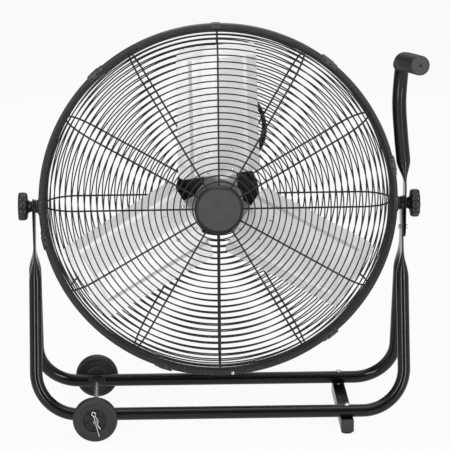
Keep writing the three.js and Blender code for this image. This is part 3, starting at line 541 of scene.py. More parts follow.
def cradle_tube(side, x):
    """One U tube, from its rounded strip end down, round both bends and up again."""
    rise = PIVOT - RAIL_Z
    drop = math.hypot(RAIL_Y, rise)
    stations = []    # x, distance down the leg, flatness, width
    for k in range(12):
        turn = math.radians(84 * (1 - k / 11))
        stations.append((x, STRIP_HALF * (1 - math.sin(turn)) + STRIP_TOP, 1, max(math.cos(turn), 0.05)))
    stations += [(x, 30, 1, 1), (x, 60, 1, 1)]
    for k in range(13):
        stations.append((x, FLAT_END + k / 12 * (ROUND_START - FLAT_END), 1 - smoothstep(k / 12, 0, 1), 1))
    stations += [(x, 180, 0, 1), (x, 240, 0, 1)]
    for k in range(25):
        turn = k / 24 * math.pi / 2
        stations.append((x - BEND_R * (1 - math.cos(turn)), drop - BEND_R * (1 - math.sin(turn)), 0, 1))
    stations += [(-s[0],) + s[1:] for s in reversed(stations)]
    points = [(s[0], side * s[1] * RAIL_Y / drop, PIVOT - s[1] * rise / drop) for s in stations]
    return sweep(points, lambda i: tube_section(TUBE_R, STRIP_HALF, *stations[i][2:]), (1, 0, 0))


def handle_points():
    route = [(0, 0, 35), (-3.25, 0, 78.4), (-8.06, 0, 124.3), (-13, 0, 192.5), (-10.66, 0, 242.5),
             (-9.36, -4.08, 259.5), (-7.41, -15.3, 272.42), (-5.2, -34, 276.5), (12, -106, 281.5)]
    strip = [(0, 0, z) for z in (-65.6, -65, -63.8, -62, -59, -54, -46, -23, 0, 18)]
    return np.vstack([strip, catmull(route, 96)]) + np.array([HANDLE_X, 0, PIVOT])


def handle_section(point):
    up = point[2] - PIVOT
    inset = min((up - HANDLE_FOOT) / HANDLE_STRIP_HALF, 1)
    return tube_section(HANDLE_R, HANDLE_STRIP_HALF, 1 - smoothstep(up, 35, 85),
                        math.sqrt(max(1 - (1 - inset) ** 2, 0.01)))


def grip():
    """The sleeve round the handle's elbow and bar, and its end face with a small hole."""
    points = handle_points()
    points = points[points[:, 1] < GRIP_FROM]
    ahead = points[-1] - points[-2]
    ahead = ahead / np.linalg.norm(ahead)
    body = points[points[:, 1] > GRIP_TO]
    tip = points[-1] + 4 * ahead
    mouth = (14.4, 16.0, 17.2, 18.0, 18.4)
    end = ((3.0, GRIP_R), (1.4, 18.2), (0.4, 17.2), (0, 15.6), (0, 2.4), (6, 2.2))
    places = np.vstack([body, [tip - back * ahead for back, radius in end]])
    radii = [*mouth, *[GRIP_R] * (len(body) - len(mouth)), *[radius for back, radius in end]]
    curved = len(body) - 4
    directions = [places[i + 1] - places[max(i - 1, 0)] if i < curved else ahead for i in range(len(places))]
    rings = carry(places, directions, lambda i: circle(radii[i], 44), (1, 0, 0))
    return skin(rings[:-4]), skin(rings[-5:])


def dome_head(radius, height):
    """A domed screw head about Y, standing up from y = 0."""
    profile = [(0, 0), (radius, 0)]
    for turn in np.radians(15 * np.arange(6)):
        profile.append((radius * math.cos(turn), height * (0.25 + 0.75 * math.sin(turn))))
    return lathe(profile + [(0, height)], 32)


def pan_screw(radius, height):
    """A domed head with a raised cross, standing up along Z."""
    top, reach = height - 0.05, radius * 1.1
    return merged(turned(dome_head(radius, height), "X", 90),
                  block(1.1, reach, 0.5, 0.1, 0, 0, top), block(reach, 1.1, 0.5, 0.1, 0, 0, top))


def along_x(part):
    return turned(part, "Z", -90)


def hexagon(radius, low, high, edge=0.5):
    return prism([(radius * math.cos(math.pi / 3 * k), radius * math.sin(math.pi / 3 * k))
                  for k in range(6)], low, high, edge)


def add_cradle():
    for end, side, x in (("front", -1, FRONT_X), ("rear", 1, REAR_X)):
        piece(f"{end}_tube", cradle_tube(side, x), GLOSS, "frame", (f"{end}_base_tube",), 50)
    points = handle_points()
    bar = sweep(points, lambda i: handle_section(points[i]), (1, 0, 0))
    piece("handle_bar", bar, GLOSS, "frame", ("handle_tube",), 50)
    sleeve, end_face = grip()
    piece("handle_sleeve", sleeve, FOAM, "frame", ("handle_grip",))
    piece("handle_sleeve_end", end_face, CAP, "frame")
    face = FRONT_X - STRIP_T / 2 - GAP
    bolt = merged(along_x(turned(dome_head(4.8, 3), "Z", 180)), along_x(rod(3, 0, HANDLE_X + 6.5 - face)))
    piece("handle_screw", moved(bolt, face, 0, HANDLE_SCREW_Z), ZINC, "frame", ("handle_bolt",))
    nut = hexagon(5.2, HANDLE_X + 1.8, HANDLE_X + 5.8)
    piece("handle_hex_nut", moved(along_x(nut), 0, 0, HANDLE_SCREW_Z), ZINC, "frame",
          ("handle_nut",))


# ---------------- foot bar and wheels

FOOT_X, FOOT_SLOPE = 240.0, 0.0125
BAR_TOP, BAR_SIZE, BAR_LENGTH = 29.7, 24.0, 254.0
PAD_Y, PAD_TOP = 113.0, BAR_TOP - BAR_SIZE - GAP


def add_foot_bar():
    skew = -math.degrees(math.atan(FOOT_SLOPE))
    z = BAR_TOP - BAR_SIZE / 2
    beam = block(BAR_SIZE, BAR_LENGTH, BAR_SIZE, 1.6, 0, 0, z)
    piece("foot_beam", moved(turned(beam, "Z", skew), FOOT_X), GLOSS, "frame", ("foot_bar",))
    pad = turned(lathe([(0, 0), (9, 0), (10.4, 0.6), (11, 2), (11, PAD_TOP - 0.4),
                        (10.6, PAD_TOP), (0, PAD_TOP)], 40), "X", 90)
    fixing = merged(moved(pan_screw(5.5, 3.5), z=RAIL_Z + TUBE_R - 0.2),
                    moved(turned(rod(2.5, 0, 20, 20), "X", 90), z=24))
    for end, side in (("front", -1), ("rear", 1)):
        y = side * (BAR_LENGTH / 2 + GAP + 1.5)
        lid = merged(block(BAR_SIZE, 3, BAR_SIZE, 1.1, 0, y, z),
                     block(BAR_SIZE - 7, 0.8, BAR_SIZE - 7, 0.3, 0, y + side * 1.2, z))
        piece(f"foot_lid_{end}", moved(turned(lid, "Z", skew), FOOT_X), HOOP, "frame",
              (f"foot_bar_{end}_cap",))
        for name, part, y, finish, slot, node in (
                ("rubber", pad, side * PAD_Y, RUBBER, "black_rubber", "pad"),
                ("fixing", fixing, side * RAIL_Y, ZINC, "zinc", "screw")):
            piece(f"foot_{name}_{end}", moved(part, FOOT_X + y * FOOT_SLOPE, y), finish, "frame",
                  (f"foot_{node}_{end}",))


WHEEL_X, WHEEL_Y, WHEEL_R, SADDLE_Y = -237.5, 143.1, 42, 96.2
AXLE_R, AXLE_HALF = 4.0, 163.1
CLIP_Y, CLIP_TURN = 158.1, math.radians(14.4)


def wheel():
    """The outer side faces +Y. The long inner hub runs on to the rail."""
    inner = -(WHEEL_Y - RAIL_Y - TUBE_R - 0.6)
    rim = [(33, -8.6), (34.2, -10.4), (36, -11), (38.4, -10.6), (40.6, -9), (41.7, -6.4), (WHEEL_R, -4),
           (WHEEL_R, 4), (41.7, 6.4), (40.6, 9), (38.4, 10.6), (36, 11)]
    hub = [(4.3, inner), (10.6, inner), (11, inner + 0.5), (11.4, -11), (20, -11), (21.5, -10.4),
           (22.5, -8.6)]
    face = [(23.2, 11), (22, 10.7), (21.5, 9.9), (21.2, 4.4), (20.4, 4), (12.6, 4), (11.9, 4.4),
            (11.6, 9.2), (10.9, 10), (7.4, 10), (7, 9.6), (6.8, 8), (4.3, 8)]
    body = lathe(hub + rim + face, 96)
    low = WHEEL_R - 0.2
    tread = [lathe([(low, y - 0.5), (WHEEL_R, y - 0.3), (WHEEL_R, y + 0.3), (low, y + 0.5)], 96)
             for y in (-3, 3)]
    ribs = [turned(block(9.5, 4.6, 1.6, 0.4, 16.6, 6.2), "Y", 60 * k + 20) for k in range(6)]
    return merged(body, *tread, *ribs)


def clip_route():
    """The R clip, as (along, across) points down its straight leg and back up its waved one."""
    route = [(30, 0), (10, 0), (0, 0), (-11, 0), (-15, -2.4), (-18.4, 0), (-18, 3.2), (-14.4, 4.8),
             (-9, 3.2), (0, 5.7), (7, 3.2), (17, 6.2)]
    return catmull([(a * math.sin(CLIP_TURN) + b * math.cos(CLIP_TURN), 0,
                     -a * math.cos(CLIP_TURN) + b * math.sin(CLIP_TURN)) for a, b in route], 110)


def saddle():
    outline = [(17.6 * math.cos(t), 4.5 + 10.2 * math.sin(t))
               for t in np.linspace(0, 2 * math.pi, 48, endpoint=False)]
    return bevelled(prism(outline, -2, 2, 0), 1.2, 4)


def add_wheels():
    piece("axle_rod", moved(rod(AXLE_R, -AXLE_HALF, AXLE_HALF, 32, 1.0), WHEEL_X, 0, RAIL_Z),
          DULL, "frame", ("wheel_axle",))
    wire = tube(clip_route(), 1.0, 12, (0, 1, 0))
    for end, side in (("front", -1), ("rear", 1)):
        part = wheel() if side > 0 else turned(wheel(), "Z", 180)
        piece(f"{end}_wheel_moulding", moved(part, WHEEL_X, side * WHEEL_Y, RAIL_Z), WHEEL,
              f"{end}_wheel", (f"{end}_wheel",))
        piece(f"{end}_spring_clip", moved(wire, WHEEL_X, side * CLIP_Y, RAIL_Z), ZINC, "frame",
              (f"{end}_wheel_clip",))
        piece(f"{end}_saddle_plate", moved(saddle(), WHEEL_X, side * SADDLE_Y, RAIL_Z), GLOSS,
              "frame", (f"{end}_axle_saddle",))


# ---------------- head: hoop, clips and guards

HOOP_R, HOOP_HALF = 340.0, 10.0
HOOP_SKIN, HOOP_FACE, HOOP_INNER, HOOP_EDGE = 341.2, 339.4, 331.0, 2.0
CLIP_SEAT = HOOP_SKIN + 0.1
CLIP_ANGLES = (-0.7, 37.3, 77.8, 140, 197.6, 257.2, 316.5)    # clockwise from the top
TOP_CLIP_R = 342.58    # the solids reach no higher
GUARD_FACE, GUARD_FLAT, GUARD_CORNER = 68.0, 268.29, 60.0
GUARD_LENGTH = GUARD_FLAT + GUARD_CORNER * math.pi / 2
RADIAL_WIRE, RING_WIRE, RING_OFFSET = 3.4, 2.6, 2.0
HOOP_WIRE_R = GUARD_FLAT + GUARD_CORNER
SPIRAL_BASE, SPIRAL_STEPS, SPIRAL_TAIL = 52.5, 150, 6
HOOP_SCREW_X, HOOP_SCREW_Z = 26.5, -336.6
CAP_X, CAP_Z = -1.8, 1.6


def guard_profile(along):
    """Radius, depth and turn of the guard's section, so far along it from the middle."""
    turn = min(max((along - GUARD_FLAT) / GUARD_CORNER, 0), math.pi / 2)
    radius = min(along, GUARD_FLAT) + GUARD_CORNER * math.sin(turn)
    return radius, GUARD_FACE - GUARD_CORNER * (1 - math.cos(turn)), turn


def wire_ring(radius, y, wire):
    return lathe([tuple(p) for p in circle(wire / 2, 10) + np.array([radius, y])], 168)


def spiral(start, end):
    """One wire wound outwards over the radial wires, against the clock seen from the front."""
    points = []
    for along in np.linspace(start, end, int((end - start) / RING_PITCH * SPIRAL_STEPS)):
        radius, depth, turn = guard_profile(along)
        radius, depth = radius + RING_OFFSET * math.sin(turn), depth + RING_OFFSET * math.cos(turn)
        angle = -2 * math.pi * (along - SPIRAL_BASE) / RING_PITCH
        points.append((radius * math.sin(angle), depth, radius * math.cos(angle)))
    return tube(points, RING_WIRE / 2, 8, (0, 1, 0))


def guard(inner, first):
    """The rear guard, open towards -Y; the front guard is the same thing turned round."""
    wires = [wire_ring(HOOP_WIRE_R, GUARD_FACE - GUARD_CORNER, RADIAL_WIRE),
             wire_ring(inner, GUARD_FACE + RING_OFFSET, RING_WIRE),
             spiral(first, GUARD_LENGTH - SPIRAL_TAIL)]
    stations = [inner, *np.linspace(inner + 20, GUARD_FLAT, 5),
                *np.linspace(GUARD_FLAT + 4, GUARD_LENGTH, 14)]
    spoke = tube([(0, guard_profile(s)[1], guard_profile(s)[0]) for s in stations], RADIAL_WIRE / 2, 12)
    return merged(*wires, *[turned(spoke, "Y", 30 * k) for k in range(12)])


def hoop():
    """A rolled band with a lip on each side and a shallow channel inside."""
    profile = []
    for cy, first in ((-HOOP_HALF + HOOP_EDGE, 270), (HOOP_HALF - HOOP_EDGE, 0)):
        for turn in np.radians(first + 18 * np.arange(6)):
            profile.append((HOOP_SKIN - HOOP_EDGE * (1 - math.cos(turn)), cy + HOOP_EDGE * math.sin(turn)))
    lip = [(HOOP_INNER + 0.6, HOOP_HALF), (HOOP_INNER, HOOP_HALF - 0.4), (HOOP_INNER, 8.8),
           (HOOP_FACE, 8.4), (HOOP_FACE + 0.3, 7.6)]
    profile += lip + [(radius, -y) for radius, y in reversed(lip)]
    return lathe(profile, 240)


def strap(profile, start, end, steps):
    """A section of (radius, y) points, carried round the hoop's axis between two angles."""
    rings = []
    for angle in np.radians(np.linspace(start, end, steps)):
        rings.append(np.array([(r * math.cos(angle), y, r * math.sin(angle)) for r, y in profile]))
    return skin(rings)


def strap_profile(thickness, arm):
    """A channel over the hoop's skin, with arms that reach down its sides to a radius."""
    half = HOOP_HALF + GAP
    wide, outer, e = half + thickness, CLIP_SEAT + thickness, 0.6
    over = [(arm, wide - e), (arm + e, wide), (outer - 1.6, wide), (outer - 0.5, wide - 0.5),
            (outer, wide - 1.6)]
    return ([(radius, -y) for radius, y in over] + over[::-1]
            + [(arm, half), (CLIP_SEAT, half), (CLIP_SEAT, -half), (arm, -half)])


def rim_clip(length, tail):
    """A clip over the hoop at +X, with a stepped tail on its clockwise side."""
    half = math.degrees(length / 2 / HOOP_R)
    thickness = 2.4 if tail else TOP_CLIP_R - CLIP_SEAT
    shell = strap(strap_profile(thickness, 332.8), -half, half, 7)
    parts = [bevelled(shell, 0.5, 2, 50)]
    if tail:
        reach = math.degrees(9 / HOOP_R)
        low = strap(strap_profile(1.3, 334.5), -half - reach, -half - 0.1, 4)
        parts.append(bevelled(low, 0.3, 2, 50))
    return merged(*parts)


def clip_screws():
    head = dome_head(1.9, 0.9)
    return merged(*[moved(head if side > 0 else turned(head, "X", 180), 337.3, side * 12.5, z)
                    for side in (-1, 1) for z in (-7, 7)])


def bracket():
    half = math.degrees(13.5 / HOOP_R)
    return bevelled(strap(strap_profile(1.2, 332.8), -half, half, 7), 0.4, 2, 50)


def hand_knob():
    """A nine-lobed knob about Y, with its seat at y = 0."""
    def lobes(radius, angle):
        depth = 3.4 * smoothstep(radius, 16, 23)
        return radius - depth * (1 - np.abs(np.cos(4.5 * angle)) ** 0.8)

    profile = [(4.3, 0), (9.4, 0), (10, 0.6), (10.8, 4), (12.4, 6.6), (15.6, 7.8), (20.5, 8.2),
               (23.4, 8.8), (25.4, 10.4), (26.6, 12.6), (27, 15), (27, 21), (26.6, 23.2),
               (25.4, 25), (23, 26), (15.4, 26), (14.4, 25.6), (13.6, 24.6), (9, 24.2), (4.3, 24.2)]
    return lathe(profile, 216, lobes)


def add_cage():
    head_piece("hoop_band", hoop(), HOOP, ("drum_band",))
    # Each guard sits a little off the hoop's middle and a little turned, as in the photo.
    front = turned(turned(guard(34, 46), "Z", 180), "Y", -0.35)
    head_piece("front_guard_wires", moved(front, -1.3, 0, 1.2), WIRE, ("front_guard",), 60)
    rear = turned(guard(70, 74), "Y", -0.25)
    head_piece("rear_guard_wires", moved(rear, 0.9, 0, 1.0), WIRE, ("rear_guard",), 60)
    for k, angle in enumerate(CLIP_ANGLES):
        top = k == 0
        clip = rim_clip(16.5 if top else 25, not top)
        head_piece(f"hoop_clip_{k + 1}", turned(clip, "Y", angle - 90), CLIP,
                   (f"rim_clip_{k + 1}",))
        if not top:
            head_piece(f"hoop_clip_screws_{k + 1}", turned(clip_screws(), "Y", angle - 90),
                       MOTOR)
    screw = turned(dome_head(3.2, 1.6), "X", 180)
    head_piece("hoop_joint_screw", moved(screw, HOOP_SCREW_X, -HOOP_HALF, HOOP_SCREW_Z), ZINC)
    skirt = lathe([(34, 71.6), (44, 71.6), (45.4, 71.8), (46, 72.4), (46, 73), (45.4, 73.8),
                   (42.4, 76.4), (41, 77.4), (40.3, 77.6), (34, 77.6)], 128)
    head_piece("cap_skirt", moved(turned(skirt, "Z", 180), CAP_X, 0, CAP_Z), KNOB)
    face = lathe([(0, 72), (33.6, 72), (33.6, 77.7), (38.9, 77.7), (39.7, 78), (39.6, 78.4),
                  (38.9, 78.6), (0, 78.6)], 128)
    head_piece("cap_disc", moved(turned(face, "Z", 180), CAP_X, 0, CAP_Z), CAP,
               ("centre_cap",))


def add_pivots():
    spacer = lathe([(4.3, 342.6), (11.9, 342.6), (12.5, 343.2), (12.5, 346), (11.9, 346.6), (4.3, 346.6)])
    bolt_from = 337.4
    for side, strip_x, turn in (("left", REAR_X, 180), ("right", HANDLE_X, 0)):
        face = strip_x + STRIP_T / 2 + GAP
        bolt = merged(turned(dome_head(7, 3), "Z", 180), rod(4, 0, face + 18 - bolt_from))
        for name, part, finish, body, slot, node, sharp in (
                ("bracket_strap", bracket(), HOOP, "cage", "hoop_paint", "pivot_bracket", 38),
                ("bush", along_x(spacer), KNOB, "cage", "black_plastic", "pivot_spacer", 38),
                ("bolt_shank", moved(along_x(bolt), bolt_from), ZINC, "cage", "zinc", "pivot_bolt", 38),
                ("hand_knob", moved(along_x(hand_knob()), face), KNOB, f"{side}_knob",
                 "black_plastic", "knob", 30)):
            piece(f"{side}_{name}", moved(turned(part, "Z", turn), z=PIVOT), finish, body,
                  (f"{side}_{node}",), sharp)


# ---------------- motor and controls

MOTOR_R, MOTOR_FLANGE, MOTOR_BORE = 68.0, 69.2, 65.5
MOTOR_FRONT, MOTOR_SEAM, MOTOR_BACK = 74.5, 102.5, 130.5
CASE_BACK = 159.0


def add_motor():
    plate = lathe([(8, 71.6), (80.4, 71.6), (81, 72), (81, 73.8), (80.4, 74.2), (8, 74.2)], 96)
    head_piece("motor_plate", plate, MOTOR, ("motor_mount_plate",))
    screw = moved(turned(dome_head(4.5, 2.4), "X", 180), 74, 71.4)
    head_piece("motor_plate_screws", merged(*[turned(screw, "Y", 45 + 90 * k) for k in range(4)]),
               ZINC)
    front_lip, rear_lip = MOTOR_SEAM - 0.2, MOTOR_SEAM + 0.2
    front = lathe([(8, MOTOR_FRONT), (64, MOTOR_FRONT), (67, 75.2), (MOTOR_R, 77), (MOTOR_R, 98),
                   (MOTOR_FLANGE, 98.6), (MOTOR_FLANGE, front_lip), (MOTOR_BORE, front_lip),
                   (MOTOR_BORE, 77.5), (18, 77.5), (18, 87), (14.3, 87), (14.3, 77.5), (8, 77.5)], 96)
    rear = lathe([(0, MOTOR_BACK), (60, MOTOR_BACK), (64.5, 129.6), (67, 127.4), (MOTOR_R, 124),
                  (MOTOR_R, 107), (MOTOR_FLANGE, 106.4), (MOTOR_FLANGE, rear_lip),
                  (MOTOR_BORE, rear_lip), (MOTOR_BORE, 127.5), (18, 127.5), (18, 118),
                  (14.3, 118), (14.3, 127.5), (0, 127.5)], 96)
    for end, shell, fin in (("front", front, block(2.2, 16, 3.2, 0.6, 68.4, 88)),
                            ("rear", rear, block(2.2, 14, 3.2, 0.6, 68.4, 115))):
        fins = [turned(fin, "Y", 10 * k) for k in range(36)]
        head_piece(f"motor_{end}_casting", merged(shell, *fins), MOTOR,
                   (f"motor_{end}_shell",))
    ear = merged(block(9, 12, 10, 1.2, 69.5, MOTOR_SEAM), moved(dome_head(3.4, 2), 70, MOTOR_SEAM + 6))
    head_piece("motor_ears", merged(*[turned(ear, "Y", 45 + 90 * k) for k in range(4)]), MOTOR)
    slot = block(14, 0.8, 2.6, 0.3, 52, MOTOR_BACK)
    head_piece("motor_vents", merged(*[turned(slot, "Y", 15 * k) for k in range(24) if k % 6]),
               RUBBER)
    head_piece("stator_stack", lathe([(38, 88.5), (65, 88.5), (65, 116.5), (38, 116.5)], 72),
               COPPER, ("motor_stator",))
    for end, start in (("front", 77.8), ("rear", 117.8)):
        race = lathe([(6.3, start), (8.6, start), (8.8, start + 0.5), (11.6, start + 0.5),
                      (11.8, start), (14, start), (14, start + 9.4), (6.3, start + 9.4)])
        head_piece(f"{end}_ball_race", race, STEEL, (f"{end}_bearing",))


def digit(text, size, at):
    """A raised numeral that is read from behind the fan."""
    data = bpy.data.curves.new("digit_" + text, "FONT")
    data.body = text
    data.size = size
    data.extrude = 0.15
    data.align_x, data.align_y = "CENTER", "CENTER"
    made = bpy.data.objects.new("digit_" + text, data)
    bpy.context.scene.collection.objects.link(made)
    bpy.context.view_layer.update()
    mesh = bpy.data.meshes.new_from_object(made)
    bpy.data.objects.remove(made)
    verts = np.array([(-v.co.x, v.co.z, v.co.y) for v in mesh.vertices], float)
    return moved((verts, [tuple(p.vertices) for p in mesh.polygons]), *at)


def add_controls():
    case = merged(block(76, 28, 64, 4.5, 0, GLAND_Y), block(77.2, 2, 65.2, 0.8, 0, 133.6))
    head_piece("control_case", case, KNOB, ("control_box",))
    screws = [moved(dome_head(3, 1.6), x, CASE_BACK - 0.4, z) for x in (-31, 31) for z in (-25, 25)]
    head_piece("control_case_screws", merged(*screws), ZINC)
    marks = []
    for k, label in enumerate("0123"):
        degrees = 90 + 45 * k
        turn = math.radians(degrees)
        marks.append(digit(label, 6.5, (23.4 * math.cos(turn), CASE_BACK, 23.4 * math.sin(turn))))
        marks.append(turned(block(2.4, 0.3, 0.8, 0.1, 19, CASE_BACK), "Y", -degrees))
    head_piece("dial_marks", merged(*marks), PRINT)
    skirt = lathe([(0, 0), (16.4, 0), (17, 0.6), (17, 3.4), (16.2, 4.4), (13.6, 5.6), (12.8, 12),
                   (11.6, 13), (0, 13)], 72)
    knob = merged(skirt, block(5, 14, 31, 1.4, 0, 8.5))
    head_piece("speed_dial", moved(knob, 0, CASE_BACK + 0.1), KNOB,
               ("speed_knob",), body="speed_knob")
    pointer = block(1.2, 0.4, 10, 0.1, 0, 15.5, 9)
    head_piece("speed_pointer", moved(pointer, 0, CASE_BACK + 0.1), PRINT,
               body="speed_knob")
    rings = [(0, 32.3), (8.6, 32.3), (9, 32.8), (9, 36), (8.4, 36.6)]
    for k in range(7):
        at, radius = 37 + 2.4 * k, 8 - 0.38 * k
        rings += [(radius - 1.2, at), (radius, at + 0.5), (radius, at + 1.4), (radius - 1.2, at + 1.9)]
    rings += [(4.9, 54.0), (4.2, GLAND_TOP), (0, GLAND_TOP)]
    gland = turned(lathe(rings, 40), "X", 90)
    head_piece("gland_sleeve", moved(gland, GLAND_X, GLAND_Y), CORD, ("cord_gland",))


# ---------------- rotor

BLADE_PLANE, BLADE_TIP, BLADE_ROOT = -18.0, 302.0, 55.0
BLADE_LEFT, BLADE_RIGHT, CAMBER = -74.0, 82.0, 8.0
EDGE_AT_ROOT, EDGE_LEAN = -75.0, 0.026    # the left edge, and its lean with the radius
BLADE_PITCH_ROOT, BLADE_PITCH_TIP, BLADE_HALF = 22, 17, 0.6
PANEL_LEFT, PANEL_RIGHT, PANEL_LIFT = -47.5, 57, 1.6
ROTOR_REST = -2.2
SPIDER_PLANE, SPIDER_HALF = BLADE_PLANE + CAMBER + 2.5, 1.1


def blade_surface(x, r):
    share = np.clip((r - BLADE_ROOT) / (BLADE_TIP - BLADE_ROOT), 0, 1)
    pitch = np.radians(lerp(BLADE_PITCH_ROOT, BLADE_PITCH_TIP, share))
    middle, half = (BLADE_LEFT + BLADE_RIGHT) / 2, (BLADE_RIGHT - BLADE_LEFT) / 2
    return BLADE_PLANE + x * np.tan(pitch) + CAMBER * (1 - ((x - middle) / half) ** 2)


def emboss(x, r):
    """How far the pressed panel stands out towards the front."""
    left = PANEL_LEFT + (r - 60) * 0.018
    below_tip = 1 - smoothstep(r, 274, 277)
    inside = smoothstep(x, left - 2, left + 2) * (1 - smoothstep(x, PANEL_RIGHT - 1.5, PANEL_RIGHT + 1.5))
    groove = np.exp(-((x - left) / 1.8) ** 2)
    fold = 1.1 * np.clip((-21 - x) / 26, 0, 1)
    return (PANEL_LIFT * inside - groove) * below_tip + fold


def blade():
    columns = 76
    along = np.concatenate([np.linspace(BLADE_ROOT, BLADE_ROOT + 12, 8)[:-1],
                            np.linspace(BLADE_ROOT + 12, 262, 46)[:-1], np.linspace(262, BLADE_TIP, 31)])
    rows = []
    for side in (-1, 1):
        for r in along:
            insets = []    # of the left and right edge, at the rounded corners
            for tip_corner, root_corner in ((20, 14), (9, 10)):
                inset = 0
                for corner, to_end in ((tip_corner, BLADE_TIP - r), (root_corner, r - BLADE_ROOT)):
                    into = corner - to_end
                    if into > 0:
                        inset += corner - math.sqrt(max(corner ** 2 - into ** 2, 0))
                insets.append(inset)
            left = EDGE_AT_ROOT + (r - BLADE_ROOT) * EDGE_LEAN
            x = np.linspace(left + insets[0], BLADE_RIGHT - insets[1], columns)
            lift = blade_surface(x, r) - emboss(x, r) + side * BLADE_HALF
            rows.append(np.stack([x, lift, np.full(columns, r)], 1))
    return thin_sheet(rows, columns)


def blade_rivets():
    """Heads on both faces of the blade, square to its pitch."""
    front = turned(turned(dome_head(3.6, 1.9), "X", 180), "Z", 20)
    back = turned(dome_head(3.2, 1.6), "Z", 20)
    heads = []
    for x in (-17.5, 28.5):
        for r in (62, 102):
            y = float(blade_surface(x, r) - emboss(x, r)) - BLADE_HALF
            heads += [moved(front, x, y + 0.4, r), moved(back, x, y + 4.6, r)]
    return merged(*heads)


def spider_arm():
    """One arm of the hub plate, twisting from the disc to the blade's back."""
    columns, corner, tip = 17, 10, 114
    rows = []
    for side in (-1, 1):
        for r in np.linspace(26, tip, 26):
            into = max(r - (tip - corner), 0)
            inset = corner - math.sqrt(max(corner ** 2 - into ** 2, 0))
            x = np.linspace(-25.5 + inset, 36.5 - inset, columns)
            twist = min(max((r - 36.5) / 16.5, 0), 1)
            lift = lerp(SPIDER_PLANE, blade_surface(x, r) + 2.4, twist)
            rows.append(np.stack([x, lift + side * SPIDER_HALF, np.full(columns, r)], 1))
    return thin_sheet(rows, columns)


def add_rotor():
    # Each blade carries its own painted shade on its right half.
    for k, right_painted_shade in enumerate(RIGHT_HALF_PAINTED_SHADE):
        turn = ROTOR_REST + 120 * k
        head_piece(f"blade_sheet_{k + 1}", turned(blade(), "Y", turn),
                   blade_finish_with_painted_shade(f"aluminium_painted_shade_{k + 1}", turn, right_painted_shade),
                   (f"blade_{k + 1}",), 30, "rotor")
        head_piece(f"blade_rivets_{k + 1}", turned(blade_rivets(), "Y", turn), ZINC, body="rotor")
    front = SPIDER_PLANE - 1.25
    disc = moved(lathe([(6.3, 0), (20, 0), (22, 0.2), (24, 1), (38, 1), (40, 0.2), (41.5, 0),
                        (46, 0), (46.5, 0.5), (46.5, 2), (46, 2.5), (6.3, 2.5)], 96), y=front)
    hub = moved(lathe([(6.3, 1), (16.4, 1), (17, 4), (17, 25.4), (16.4, 26), (6.3, 26)], 64), y=front)
    arms = [turned(spider_arm(), "Y", 120 * k) for k in range(3)]
    seat = front - GAP
    nut = merged(hexagon(11, seat - 8, seat - 1.6, 0.8),
                 moved(lathe([(6.3, -1.6), (13, -1.6), (13.4, -1.2), (13.4, 0), (6.3, 0)]), y=seat))
    for name, part, finish, slot, node in (
            ("hub_plate", turned(merged(disc, hub, *arms), "Y", ROTOR_REST), SPIDER,
             "blade_aluminium", "blade_spider"),
            ("drive_shaft", rod(6, -22, 127.2, 40, 1.0), STEEL, "steel", "motor_shaft"),
            ("rotor_core", lathe([(6.3, 90.5), (37, 90.5), (37, 114.5), (6.3, 114.5)], 72),
             STEEL, "steel", "motor_rotor"), ("hub_nut", nut, ZINC, "zinc", "shaft_nut")):
        head_piece(name, part, finish, (node,), body="rotor")


add_cradle()
add_foot_bar()
add_wheels()
add_cage()
add_pivots()
add_motor()
add_controls()
add_rotor()


# ---------------- floor, light and background

FLOOR_SEEN, FLOOR_MIRRORED = 0.92, 0.45    # share of plain white; the rest takes the shadow


def add_floor():
    bpy.ops.mesh.primitive_plane_add(size=60, location=(0, 0, 0))
    floor = bpy.context.object
    floor.name = "floor"
    made = bpy.data.materials.new("pale_floor")
    graph = Graph(made)
    shader = graph.nodes["Principled BSDF"]
    graph.fill(shader, {"Base Color": (0.9, 0.9, 0.9, 1), "Roughness": 0.9, "Specular IOR Level": 0.0})
    rays = graph.add("LightPath", {}).node.outputs
    seen = graph.add("Math", {0: rays["Is Camera Ray"], 1: FLOOR_SEEN}, operation="MULTIPLY")
    mirrored = graph.add("Math", {0: rays["Is Glossy Ray"], 1: FLOOR_MIRRORED}, operation="MULTIPLY")
    share = graph.add("Math", {0: seen, 1: mirrored}, operation="MAXIMUM")
    glow = graph.add("Emission", {"Color": (1, 1, 1, 1)})
    mix = graph.add("MixShader", {0: share, 1: shader.outputs[0], 2: glow})
    graph.fill(graph.nodes["Material Output"], {"Surface": mix})
    floor.data.materials.append(made)


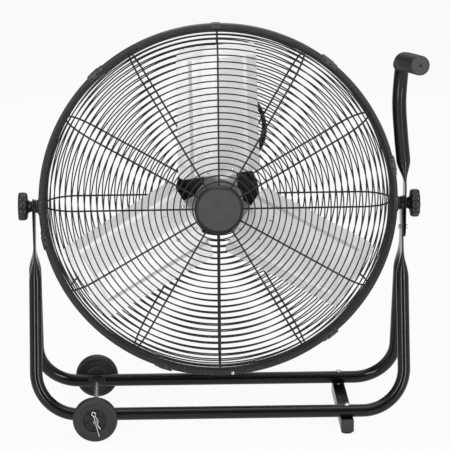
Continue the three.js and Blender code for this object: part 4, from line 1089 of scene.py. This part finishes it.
AMBIENT = 0.30
MIRRORED_MIDDLE, MIRRORED_EDGE = 0.07, 0.72    # in front and behind; above and at the sides


def add_world():
    """White for the camera and in glass; a dark front and back in reflections."""
    made = bpy.data.worlds.new("studio")
    bpy.context.scene.world = made
    graph = Graph(made)
    rays = graph.add("LightPath", {}).node.outputs
    place = graph.add("TexCoord", {}, "Generated")
    axes = graph.add("SeparateXYZ", {0: place}).node.outputs
    aside = graph.add("Math", {0: axes["X"]}, operation="ABSOLUTE")
    edge = graph.add("Math", {0: aside, 1: axes["Z"]}, operation="MAXIMUM")
    mirrored = graph.add("MapRange", {
        "Value": edge, "From Min": 0.5, "From Max": 0.95, "To Min": MIRRORED_MIDDLE,
        "To Max": MIRRORED_EDGE}, interpolation_type="SMOOTHSTEP")
    strength = AMBIENT
    for ray, light in (("Is Glossy Ray", mirrored), ("Is Transmission Ray", 1.0), ("Is Camera Ray", 1.0)):
        strength = graph.add("Mix", {"Factor": rays[ray], "A": strength, "B": light}, "Result",
                             data_type="FLOAT")
    graph.fill(graph.nodes["Background"], {"Color": (1, 1, 1, 1), "Strength": strength})


def add_lamp(name, at, target, width, height, power):
    data = bpy.data.lights.new(name, "AREA")
    data.shape = "RECTANGLE"
    data.size, data.size_y = width, height
    data.energy = power
    made = bpy.data.objects.new(name, data)
    made.location = at
    direction = Vector(target) - Vector(at)
    made.rotation_euler = direction.to_track_quat("-Z", "Y").to_euler()
    bpy.context.scene.collection.objects.link(made)


add_floor()
add_world()
for lamp in (("left_softbox", (-1.25, -2.7, 1.3), (0, 0, 0.4), 0.65, 2.4, 38),
             ("right_softbox", (1.65, -2.5, 1.3), (0, 0, 0.4), 0.65, 2.4, 40),
             ("top_softbox", (0, -0.6, 3.0), (0, 0, 0.3), 2.0, 1.6, 16),
             ("rear_softbox", (0.4, 3.2, 2.4), (0, 0, 0.4), 2.6, 1.8, 24)):
    add_lamp(*lamp)
bpy.context.scene.view_settings.view_transform = "Standard"


def corners(box):
    return [[float(v) for v in corner] for corner in box]
